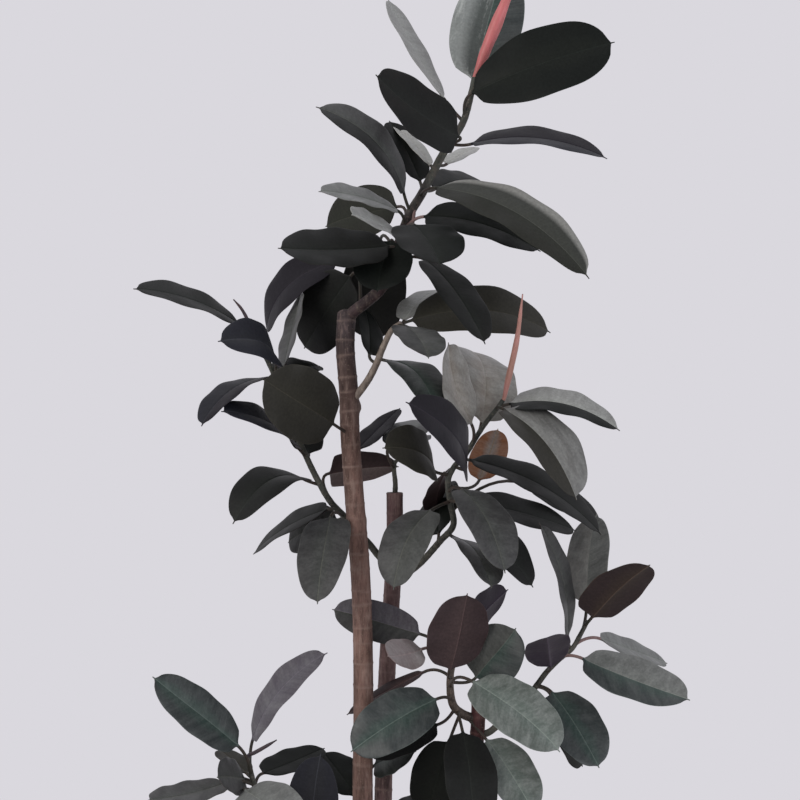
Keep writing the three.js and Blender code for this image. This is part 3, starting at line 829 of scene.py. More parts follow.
class Stuff(Enum):
    """The finishes of everything but the leaves."""

    # The main trunk: brown below, turning dark grey higher up.
    OLD_BARK = Bark("rubber fig bark, old", "#6c544c", "#3d3435", "#8f7b72", 1.14, 1.38)
    # The trunk behind: grey brown, a little pink, and dull.
    GREY_BARK = Bark("rubber fig bark, grey", "#5c4948", "#66504f", "#84706a", 0.75, 0.95)
    # The youngest trunk: dark red brown.
    RED_BARK = Bark("rubber fig bark, young and red", "#3f2a28", "#4a2c2d", "#74554f", 0.5, 0.8)
    # The leader's stem: wine red below, grey green near the top.
    RED_TWIG = Bark("rubber fig twig, red below", "#36282a", "#3d3f39", "#5a5049", 1.44, 1.6, 0.6)
    # Most stems: a dull green, so that they stay behind their leaves.
    GREEN_TWIG = Bark("rubber fig twig, green", "#3a3a35", "#3c3f3a", "#5a5850", 0.9, 1.3, 0.55)
    # A stem that turns to wood: brown.
    BROWN_TWIG = Bark("rubber fig twig, brown", "#3f3430", "#49423b", "#6a5c54", 0.7, 0.9, 0.6)
    # A stem in full light: pale brown grey.
    PALE_TWIG = Bark("rubber fig twig, pale", "#6d625b", "#766c64", "#94897e", 1.2, 1.4, 0.6)
    # Leaf stalks: green to wine, with fine lines along them.
    PETIOLE = Speckled("leaf stalk skin", "#33352f", "#433834", 5, 0.5, 0.15, 0.15, 0.3)
    # Stalks of young leaves: rosy and paler.
    ROSY_PETIOLE = Speckled("leaf stalk skin, rosy", "#6b5452", "#7b6865", 5, 0.5, 0.15, 0.2, 0.3)
    # The brightest thing on the plant: a satin coral red.
    SHEATH = Speckled("bud sheath skin", "#bd666a", "#a15f5b", 9, 0.42, 0.1, 0.3, 0.25)
    # A sheath about to open: paler, with brown patches.
    PALE_SHEATH = Speckled("bud sheath skin, ripe", "#b8807c", "#8a6c5a", 16, 0.45, 0.1, 0.3, 0.35)
    # Small sheaths in the shade: dark wine.
    DARK_SHEATH = Speckled("small bud sheath skin", "#4a3c3e", "#39343a", 6, 0.5, 0.1, 0.2, 0.3)
    # Old cut ends: grey brown and rough.
    CUT_WOOD = Speckled("weathered cut wood", "#6f6156", "#4c423b", 2.5, 0.85, 0.4)
    # A matt light grey that keeps the pot quiet, with faint throwing lines.
    CLAY = Speckled("fired clay, matt slip", "#bcb6ac", "#aaa398", 14, 0.62, 0.25, 0.35, 2.5)
    # Nearly black brown, quite matt and crumbly.
    SOIL = Speckled("moist potting soil", "#2c211a", "#463528", 4, 0.95, 1.6, 0.15)
    # Bark chips: warm brown flakes on the soil.
    CHIP = Speckled("pine bark chip", "#5b4230", "#3a2a20", 5, 0.9, 0.6, 0.2)
    # Perlite: white dots on the soil.
    GRIT = Speckled("perlite grain", "#d9d6cf", "#bdb8ae", 2, 0.9, 0.3, 0.2)


@lru_cache(maxsize=None)
def made(finish: LeafSkin | Bark | Speckled) -> bpy.types.Material:
    """The material of a finish, made once."""
    return finish.material()


@dataclass(frozen=True)
class Leaf:
    """One leaf: a curved stalk and a thick blade folded along its midrib.

    Attributes:
        root: the spot on the stem where it springs.
        foot: the place where the stalk meets the blade.
        tip: the place of the drip tip.
        width: the blade's greatest width, in millimetres.
        turn: the angle in degrees between the upper face and the one who looks from the front:
            0 faces them, 90 faces the sky.
        arch: how far the midrib bows out on the upper face, in millimetres.
        look: its age and gloss, and the light and shade painted into its colours.
        other: the look of the half to the right of the chord, as seen from above, where it isn't
            the
            same: a lit or a shaded copy, which paints on the light and shade that the fold gives
            the two halves.
        belly: the share of the length where the blade is widest.
        fold: how much each half rises for each step from the midrib.
        curl: how much each half of the blade bulges, as a share of the half width.
        stalk: the stalk's finish.
    """

    root: Spot
    foot: Place
    tip: Place
    width: float
    turn: float
    arch: float
    look: Look = Look.DARK
    other: Look | None = None
    belly: float = 0.475
    fold: float = 0.1
    curl: float = 0.1
    stalk: Stuff = Stuff.PETIOLE

    STALK_RADIUS = 2.3 * MM
    STALK_SWELLS = 0.25  # how much thicker it is where it springs, as a share of the radius
    SWELL_ROWS = 1.2  # rows over which that swelling goes down to a third
    STALK_ROWS = 8
    BEND = 0.45  # how far before the blade the stalk bends, as a share of its length
    BLADE_ROWS = 38
    FIRST_TURN = 0.08  # rows crowd at both ends as on a half round, which starts at this share
    LEAN_TO_RIGHT = 0.1  # a chord that runs straight up has its sky side to the right
    SWAY = 0.05  # how far the midrib may sway to a side, as a share of the width
    OVAL_END = 0.965  # share of the length where the oval ends
    BLUNTNESS = 2.15  # the oval's power: 2 is an ellipse, and more is blunter
    TIP_HALF = 0.6 * MM
    TIP_SWELLS = 3 * MM  # how much wider the drip tip is where it starts
    TIP_GROWS = (0.8, 0.12)  # the share of the length where it sets in, and over which
    TIP_SHRINKS = (0.9, 0.1)  # and where it narrows again
    RIB_ZONE = 3.2 * MM  # reach of the close columns that shape the midrib
    OUTER = (1, 0.985, 0.94, 0.86, 0.74, 0.59, 0.43, 0.28, 0.13)  # columns, margin to rib zone
    INNER = (1, 0.6, 0.28)  # columns from the rib zone's edge to the midrib
    THICKNESS = 1.1 * MM
    RIM = 0.12 * MM  # half the thickness at the very margin
    ROUNDNESS = 14  # the power that rounds the margin
    CREASE = 0.04  # share of the half width over which the fold is softened at the midrib
    WAVE = 0.035  # how high the margin's waves go, as a share of the half width
    WAVE_BEATS = (2.2, 3.4)  # the least and the most waves from foot to tip
    WAVE_POWER = 2.5  # how much they keep to the margin
    WAVE_FROM = 0.2  # share of the length over which the waves set in
    GROOVE = 0.55 * MM
    GROOVE_REACH = 1.1 * MM
    RIDGE_MM = (1.7, 1.2)  # how far the ridge stands out at the foot, less this at the tip
    RIDGE_REACH = 1.6 * MM
    FLATTENS = 0.06  # share of the length over which the round stalk becomes the flat blade

    def axes(self) -> tuple[Array, Array, Array]:
        """How the blade lies.

        Its upper face is square to the chord, turned from the one who looks to the sky by the
        leaf's turn.

        Returns:
            The chord from foot to tip, the upper face's normal, and the direction to the right
            of the chord.
        """
        chord = at(self.tip) - at(self.foot)
        along = unit(chord)
        to_eye = np.array([0.0, -1.0, 0.0])
        facing = unit(to_eye - along * (to_eye @ along))
        skyward = np.cross(along, facing)
        if skyward[2] + self.LEAN_TO_RIGHT * skyward[0] < 0:
            skyward = -skyward
        turn = math.radians(self.turn)
        normal = facing * math.cos(turn) + skyward * math.sin(turn)
        return chord, normal, np.cross(normal, along)

    def middle(self, stem: Path3,
               luck: np.random.Generator) -> tuple[Array, Array, Array, Array]:
        """The middle line of the stalk and the blade, row by row.

        The midrib leaves the chord by an arch: four times the arch, times the share of the
        length, times one less the share. It also sways to one side, by four times the sway,
        times the share's square, times one less the share.

        Args:
            stem: the line of the stem that carries the leaf.
            luck: the leaf's random draws.

        Returns:
            The points, the directions across the blade and up from it, and each row's share of
            the blade's length, which is 0 on the stalk.
        """
        chord, normal, side = self.axes()
        foot, root = at(self.foot), stem.nearest(self.root)
        rise = normal * 4 * (self.arch * MM)
        bend = foot - unit(chord + rise) * self.BEND * np.linalg.norm(foot - root)
        t = np.linspace(0, 1, self.STALK_ROWS + 1)[:-1, None]
        stalk = bent(root, bend, foot, t)
        stalk_way = unit((bend - root) * (1 - t) + (foot - bend) * t)

        turn = np.linspace(0, 1, self.BLADE_ROWS)
        share = 0.5 - 0.5 * np.cos(np.pi * (self.FIRST_TURN + (1 - self.FIRST_TURN) * turn))
        share = ((share - share[0]) / (share[-1] - share[0]))[:, None]
        swing = side * 4 * (luck.uniform(-self.SWAY, self.SWAY) * self.width * MM)
        blade = foot + chord * share + rise * share * (1 - share) + swing * share**2 * (1 - share)
        blade_way = unit(chord + rise * (1 - 2 * share) + swing * (2 * share - 3 * share**2))
        way = np.vstack([stalk_way, blade_way])
        across = unit(side - way * (way @ side)[:, None])
        return (np.vstack([stalk, blade]), across, np.cross(way, across),
                np.concatenate([np.zeros(self.STALK_ROWS), share[:, 0]]))

    def half_width(self, share: Array) -> Array:
        """Half the blade's width along it: an oval, then a slim tip that narrows to a point.

        The oval is a blunt ellipse: one less the place's bluntness-th power, and then its root.
        The place runs from -1 at the foot to 1 at the oval's end and is bent so that the widest
        place is the belly. The tip's own half width is added to it as the cube root of the sum
        of the cubes.

        Args:
            share: shares of the blade's length.

        Returns:
            The half widths, in metres.
        """
        bend = math.log(0.5) / math.log(self.belly / self.OVAL_END)
        place = np.clip(share / self.OVAL_END, 0, 1) ** bend
        off = np.abs(2 * place - 1) ** self.BLUNTNESS
        oval = np.clip(1 - off, 0, 1) ** (1 / self.BLUNTNESS) * self.width / 2 * MM
        tip = self.TIP_HALF + self.TIP_SWELLS * step(share, *self.TIP_GROWS) * (
            1 - step(share, *self.TIP_SHRINKS))
        return np.cbrt(oval**3 + tip**3)

    def columns(self, half: Array) -> Array:
        """How far from the midrib each point of a row lies, from margin to margin.

        Args:
            half: the half width at each row, in metres.

        Returns:
            The distances in metres, a row each, the right half's above 0.
        """
        zone = np.minimum(self.RIB_ZONE, half / 2)[:, None]
        spread = np.concatenate([self.OUTER, np.zeros(len(self.INNER) + 1)])
        near = np.concatenate([np.ones(len(self.OUTER)), self.INNER, [0.0]])
        spread = np.concatenate([spread, -spread[-2::-1]])
        near = np.concatenate([near, -near[-2::-1]])
        return spread * (half[:, None] - zone) + near * zone

    def faces(self, x: Array, half: Array, share: Array,
              luck: np.random.Generator) -> tuple[Array, Array]:
        """How high the blade's two faces stand over the midrib.

        The sheet between them grows with the distance from the midrib (the fold), bulges
        between midrib and margin, and waves a little at the margin. The margin is rounded. The
        midrib is a bell-shaped ridge below and a shallow groove above.

        Args:
            x: the distances from the midrib, in metres.
            half: the half width at each row, in metres.
            share: each row's share of the length.
            luck: the leaf's random draws.

        Returns:
            The heights of the upper and of the lower face, in metres.
        """
        part = x / half
        off = np.abs(part)
        beat = luck.uniform(*self.WAVE_BEATS)
        right, left = luck.uniform(0, 2 * np.pi, 2)
        wave = np.sin(2 * np.pi * beat * share + np.where(part > 0, right, left))
        sheet = half * (self.fold * (np.sqrt(part**2 + self.CREASE**2) - self.CREASE)
                        + self.curl * (off - off**2)
                        + self.WAVE * wave * off**self.WAVE_POWER * ease(share / self.WAVE_FROM))
        edge = np.sqrt(np.clip(1 - off**self.ROUNDNESS, 0, 1))
        skin = self.RIM + (self.THICKNESS / 2 - self.RIM) * edge
        stands, less = self.RIDGE_MM
        ridge = (stands - less * share) * MM * bell(x, self.RIDGE_REACH)
        return sheet + skin - self.GROOVE * bell(x, self.GROOVE_REACH), sheet - skin - ridge

    def skins(self) -> list[LeafSkin | Speckled]:
        """The leaf's finishes.

        Returns:
            Those of both halves above, of both halves below, and of the stalk.
        """
        other = self.other or self.look
        return [self.look.value[0], other.value[0], other.value[1], self.look.value[1],
                self.stalk.value]

    def grid(self, stem: Path3, finishes: Sequence[int]) -> Grid:
        """Works out the leaf as one closed profile carried along the stalk and the midrib.

        Along the stalk the profile is a circle, on the blade a sheet with two faces, and the
        one passes into the other smoothly.

        Args:
            stem: the line of the stem that carries the leaf.
            finishes: the numbers of the materials of the leaf's skins.

        Returns:
            The leaf's grid.
        """
        luck = luck_of((*self.foot, *self.tip))
        centre, across, up, share = self.middle(stem, luck)
        half = self.half_width(share)
        x = self.columns(half)
        upper, under = self.faces(x, half[:, None], share[:, None], luck)
        wide = np.concatenate([x, x[:, ::-1]], 1)
        high = np.concatenate([upper, under[:, ::-1]], 1)

        turn = np.pi * np.linspace(0, 1, x.shape[1])
        angle = np.concatenate([turn, turn + np.pi])
        swelling = self.STALK_SWELLS * np.exp(-np.arange(len(centre)) / self.SWELL_ROWS)
        radius = (self.STALK_RADIUS * (1 + swelling))[:, None]
        flat = ease(share / self.FLATTENS)[:, None]
        wide_here = wide * flat + radius * np.cos(angle) * (1 - flat)
        high_here = high * flat + radius * np.sin(angle) * (1 - flat)
        points = (centre[:, None] + across[:, None] * wide_here[..., None]
                  + up[:, None] * high_here[..., None])

        run = travelled(centre)
        marks = side_by_side(wide, (run - run[self.STALK_ROWS])[:, None], half[:, None])
        columns = x.shape[1] // 2
        halves = np.repeat(finishes[:4], [columns, columns + 1] * 2)
        finish = np.tile(halves, (len(centre) - 1, 1))
        finish[:self.STALK_ROWS] = finishes[4]
        return Grid(points, marks, finish, (finishes[4], finishes[0]))


@dataclass(frozen=True)
class Bump:
    """A knob or hollow on bark.

    Attributes:
        height: its height, in millimetres.
        angle: its angle in degrees, from the trunk's right round by its back.
        reach: how far it reaches, in millimetres.
        proud: how far it stands out, in millimetres.
    """

    height: float
    angle: float
    reach: float
    proud: float


@dataclass(frozen=True)
class Stem:
    """A round woody stem along a smooth line, ringed where leaves left their scars.

    Attributes:
        axis: places along its middle.
        radii: its radius at the foot and at the end, in millimetres.
        bark: its bark.
        gap: the usual distance between two scars, in millimetres.
        proud: how far a scar stands out, in millimetres.
        sides: corners of each ring.
        step: distance between rings, in millimetres.
        knobs: knobs and hollows.
        cut: whether its end is cut off flat, or rounded.
    """

    axis: tuple[Place, ...]
    radii: tuple[float, float]
    bark: Stuff = Stuff.GREEN_TWIG
    gap: float = 15
    proud: float = 0.35
    sides: int = 24
    step: float = 2.5
    knobs: tuple[Bump, ...] = ()
    cut: bool = False

    LEAST_ROWS = 12
    SCAR_HALF = 1.6 * MM
    SCAR_GAPS = (0.65, 1.35)  # the least and the most, as shares of the usual gap
    SCAR_STRENGTH = (0.35, 1.0)
    SCAR_TILT = 2.2 * MM  # how far a ring may lean up on one side
    SCAR_MOST = 1.2  # what rings that run into each other come to at most
    KNOB_WORN = 0.7  # how much a knob's bark looks like a scar
    WAVES = (1, 2, 3, 4)  # how often each wave goes up and down on its way round
    WAVE_HEIGHT = (0.2, 0.5)
    WAVE_RATE = (8, 45)  # how fast a wave turns, in radians to the metre
    WAVE_STARTS = (0, 6.3)
    WAVES_SHOW = 0.018
    EDGE = 0.12  # the rounding of a cut end, as a share of the radius
    EDGE_RINGS = 5
    FLAT_RINGS = (0.6, 0.3, 0.05)  # the cut face's rings, as shares of the radius
    DOME = 0.6  # the height of a rounded end, as a share of the radius
    DOME_RINGS = 8
    DOME_ENDS = 0.98  # how much of a quarter round the dome's rings take

    def path(self) -> Path3:
        """The line that the stem follows."""
        return Path3(at(self.axis))

    def scars(self, run: Array, length: float, angle: Array, luck: np.random.Generator) -> Array:
        """The rings that old leaves left: narrow bells all round, each tilted a little.

        Args:
            run: how far along the stem each row lies, in metres.
            length: the stem's length, in metres.
            angle: the corners' angles.
            luck: the stem's random draws.

        Returns:
            How much of a scar each row has at each corner.
        """
        rings = int(length / (self.gap * MM)) + 1
        places = np.cumsum(luck.uniform(*self.SCAR_GAPS, rings)) * self.gap * MM
        strength = luck.uniform(*self.SCAR_STRENGTH, rings)
        tilt = luck.uniform(0.0, self.SCAR_TILT, rings)
        lean = tilt * np.cos(angle[..., None] + luck.uniform(0, 2 * np.pi, rings))
        scar = strength * bell(run[..., None] - places - lean, self.SCAR_HALF)
        return np.clip(scar.sum(-1), 0, self.SCAR_MOST)

    def end_rings(self) -> tuple[Array, Array]:
        """The rings that close the end: a rounded edge and a flat face, or a dome.

        Returns:
            How large each is and how far beyond the last row, both as shares of the radius.
        """
        if not self.cut:
            turn = np.linspace(0, self.DOME_ENDS, self.DOME_RINGS)[1:] * np.pi / 2
            return np.cos(turn), np.sin(turn) * self.DOME
        turn = np.linspace(0, 1, self.EDGE_RINGS)[1:] * np.pi / 2
        return (np.concatenate([np.cos(turn) * self.EDGE + (1 - self.EDGE), self.FLAT_RINGS]),
                np.concatenate([np.sin(turn), np.ones(len(self.FLAT_RINGS))]) * self.EDGE)

    def grid(self, finishes: tuple[int, int]) -> Grid:
        """Works out the stem as a ring carried along its line.

        The radius goes evenly from foot to end. Low waves make it uneven, and each scar and each
        knob adds a bell of its own.

        Args:
            finishes: the numbers of the bark's and the end face's materials.

        Returns:
            The stem's grid.
        """
        luck = luck_of(self.axis[-1])
        path = self.path()
        length = path.length()
        rows = max(self.LEAST_ROWS, int(length / (self.step * MM)))
        centre = path.points(rows)
        way, side, up = frames(centre)
        run = np.linspace(0, length, rows)[:, None]
        angle = around(self.sides)
        scar = self.scars(run, length, angle, luck)
        waves = sum(luck.uniform(*self.WAVE_HEIGHT) * np.sin(
            count * angle + luck.uniform(*self.WAVE_RATE) * run + luck.uniform(*self.WAVE_STARTS))
            for count in self.WAVES)
        radius = (self.radii[0] + (self.radii[1] - self.radii[0]) * run / length) * MM
        radius = radius * (1 + self.WAVES_SHOW * waves) + self.proud * MM * scar
        for knob in self.knobs:
            turned_by = (angle - math.radians(knob.angle) + np.pi) % (2 * np.pi) - np.pi
            away = np.hypot(turned_by * radius, centre[:, 2:3] - knob.height * MM)
            swelling = bell(away, knob.reach * MM)
            radius = radius + knob.proud * MM * swelling
            scar = np.maximum(scar, self.KNOB_WORN * swelling)
        ring = outwards(side, up, angle)
        points = centre[:, None] + ring * radius[..., None]

        shrink, rise = self.end_rings()
        last = radius[-1][None, :] * shrink[:, None]
        lift = (rise * self.radii[1] * MM)[:, None, None]
        end = centre[-1] + way[-1] * lift + ring[-1][None] * last[..., None]
        points = np.concatenate([points, end])
        marks = side_by_side(scar, centre[:, 2:3], angle)
        marks = np.concatenate([marks, np.repeat(marks[-1:], len(shrink), 0)])
        finish = np.full((len(points) - 1, self.sides), finishes[0])
        finish[-len(self.FLAT_RINGS):] = finishes[1]
        return Grid(points, marks, finish, finishes)


@dataclass
class Trunk:
    """A trunk on its own.

    Attributes:
        name: the name of its node.
        stem: its wood.
    """

    name: str
    stem: Stem

    def build(self) -> bpy.types.Object:
        """Builds the trunk with its bark and its cut end.

        Returns:
            The object.
        """
        materials = [made(self.stem.bark.value), made(Stuff.CUT_WOOD.value)]
        grid = self.stem.grid((0, int(self.stem.cut)))
        return Piece(f"{self.name}_wood", self.name, "bark", materials, [grid]).build()


@dataclass
class Shoot:
    """A stem with its leaves, or leaves that spring straight from a trunk.

    Attributes:
        name: the shoot's name, and its node's.
        stem: the stem.
        leaves: the leaves.
        bare: whether the stem is another piece's, and only the leaves are built.
        slot: the name of the material slot that its piece holds.
    """

    name: str
    stem: Stem
    leaves: list[Leaf]
    bare: bool = False
    slot: str = "foliage"

    def build(self) -> bpy.types.Object:
        """Builds the stem and all leaves as one piece, each face with its own finish.

        Returns:
            The object.
        """
        skins = [] if self.bare else [self.stem.bark.value]
        for leaf in self.leaves:
            skins += [skin for skin in dict.fromkeys(leaf.skins()) if skin not in skins]
        piece = Piece(f"{self.name}_leaves", self.name, self.slot, [made(skin) for skin in skins])
        if not self.bare:
            piece.grids.append(self.stem.grid((0, 0)))
        path = self.stem.path()
        for leaf in self.leaves:
            piece.grids.append(leaf.grid(path, [skins.index(skin) for skin in leaf.skins()]))
        return piece.build()


@dataclass
class Sheath:
    """The pointed sheath that holds the next leaf, on the end of a stem.

    Attributes:
        name: its name, and its node's.
        stem: the stem that it ends.
        axis: places along its middle, beyond the stem's end.
        radii: its radii from foot to tip, in millimetres.
        skin: its finish.
    """

    name: str
    stem: Stem
    axis: tuple[Place, ...]
    radii: tuple[float, ...]
    skin: Stuff = Stuff.SHEATH

    NECK = 3 * MM
    GAP = 0.35 * MM
    STEM_POINTS = 400  # points on the stem, of which the last two give its direction
    ROWS = 70
    SIDES = 32
    SEAM = 0.1  # how far the wrap steps down at the seam, as a share of the radius
    WINDS = 0.6  # turns that the seam makes from foot to tip

    def build(self) -> bpy.types.Object:
        """Builds the sheath: a ring carried along its line, with one edge rolled over the other.

        The radius runs smoothly through the given ones. One wrap covers the other, so that the
        radius steps down a little at the seam, which winds round the sheath.

        Returns:
            The object.
        """
        stem = self.stem.path().points(self.STEM_POINTS)
        way = unit(stem[-1] - stem[-2])
        neck = stem[-1] + way * np.array([[self.GAP], [self.GAP + self.NECK]])
        centre = Path3(np.vstack([neck, at(self.axis)])).points(self.ROWS)
        _, side, up = frames(centre)
        share = np.linspace(0, 1, self.ROWS)
        knots = np.linspace(0, 1, len(self.radii))
        place = np.clip(np.searchsorted(knots, share, side="right") - 1, 0, len(knots) - 2)
        local = (share - knots[place]) * (len(knots) - 1)
        radii = np.array(self.radii) * MM
        mid = radii[place] + (radii[place + 1] - radii[place]) * ease(local)
        angle = around(self.SIDES)
        wrap = (angle / (2 * np.pi) + self.WINDS * share[:, None]) % 1.0
        radius = mid[:, None] * (1 - self.SEAM * wrap**3)
        points = centre[:, None] + outwards(side, up, angle) * radius[..., None]
        marks = side_by_side(wrap, share[:, None], angle)
        grid = Grid(points, marks, np.zeros((self.ROWS - 1, self.SIDES), int), (0, 0))
        return Piece(f"{self.name}_sheath", self.name, "sheath", [made(self.skin.value)],
                     [grid]).build()


def round_profile(corners: Sequence[tuple[float, float, float]], steps: int = 6) -> Array:
    """A profile whose corners are rounded.

    Each corner is replaced by a curve drawn to it, which starts and ends at the corner's own
    reach along both edges.

    Args:
        corners: distance from the axis, height, and how far from the corner the curve starts.
        steps: points along each curve.

    Returns:
        The profile's points, in the corners' unit.
    """
    table = np.array(corners)
    spots, reach = table[:, :2], table[:, 2]
    rows = [spots[0]]
    t = np.linspace(0, 1, steps)[:, None]
    for before, spot, after, r in zip(spots[:-2], spots[1:-1], spots[2:], reach[1:-1]):
        rows += list(bent(spot + unit(before - spot) * r, spot, spot + unit(after - spot) * r, t))
    rows.append(spots[-1])
    return np.array(rows)


def split_long(profile: Array, longest: float) -> Array:
    """A profile with more points on it.

    Args:
        profile: distances from the axis and heights.
        longest: the longest gap that may be left, in the same unit.

    Returns:
        The profile with its long edges split into even parts.
    """
    gaps = np.linalg.norm(np.diff(profile, axis=0), axis=1)
    parts = np.maximum(1, np.ceil(gaps / longest).astype(int))
    place = np.concatenate([i + np.arange(n) / n for i, n in enumerate(parts)] + [[len(parts)]])
    index = np.arange(len(profile))
    return np.stack([np.interp(place, index, profile[:, k]) for k in (0, 1)], axis=-1)


def turned(profile: Array, sides: int, lift: Array | float = 0.0) -> Grid:
    """A profile turned about the upright axis, each point raised by its own lift.

    Args:
        profile: distances from the axis and heights.
        sides: corners of each ring.
        lift: what is added to the heights, for each ring and corner.

    Returns:
        The grid.
    """
    angle = around(sides)
    radius, height = profile[:, :1], profile[:, 1:]
    flat = np.broadcast_to(height + lift, (len(profile), sides))
    points = np.stack([radius * np.cos(angle), radius * np.sin(angle), flat], -1)
    marks = side_by_side(radius, flat, angle)
    return Grid(points, marks, np.zeros((len(profile) - 1, sides), int), (0, 0))


@dataclass
class Pot:
    """A plain round clay pot with a proud rim. Sizes are in millimetres.

    Attributes:
        height: its height.
        base_radius: its outer radius at the foot.
        top_radius: its outer radius at the top, without the rim.
        wall: the wall's thickness.
        floor: the floor's thickness.
        rim_height: how high the rim is.
        rim_proud: how far the rim stands out.
        sides: corners of each ring.
    """

    height: float = 300
    base_radius: float = 108
    top_radius: float = 145
    wall: float = 8
    floor: float = 10
    rim_height: float = 34
    rim_proud: float = 5
    sides: int = 160

    CENTRE = 1  # the radius of the small faces that close base and floor
    FOOT_ROUNDS = 4
    RIM_ROOT_ROUNDS = 1.5
    RIM_BELOW_ROUNDS = 2.5
    LIP_ROUNDS = 4
    LIP_INSIDE_ROUNDS = 3.5
    FLOOR_ROUNDS = 4
    LONGEST = 9  # the longest gap between two rings

    def outer(self, height: float) -> float:
        """The outer radius at a height."""
        return self.base_radius + (self.top_radius - self.base_radius) * height / self.height

    def inner(self, height: float) -> float:
        """The inner radius at a height."""
        return self.outer(height) - self.wall

    def build(self) -> bpy.types.Object:
        """Builds the pot: its rounded profile turned about the axis.

        Returns:
            The object.
        """
        rim = self.top_radius + self.rim_proud
        under = self.height - self.rim_height
        profile = round_profile([
            (self.CENTRE, 0, 0),
            (self.outer(0), 0, self.FOOT_ROUNDS),
            (self.outer(under), under, self.RIM_ROOT_ROUNDS),
            (rim, under, self.RIM_BELOW_ROUNDS),
            (rim, self.height, self.LIP_ROUNDS),
            (self.inner(self.height), self.height, self.LIP_INSIDE_ROUNDS),
            (self.inner(self.floor), self.floor, self.FLOOR_ROUNDS),
            (self.CENTRE, self.floor, 0),
        ])
        return Piece("clay_pot", "pot", "pot", [made(Stuff.CLAY.value)],
                     [turned(split_long(profile, self.LONGEST) * MM, self.sides)]).build()


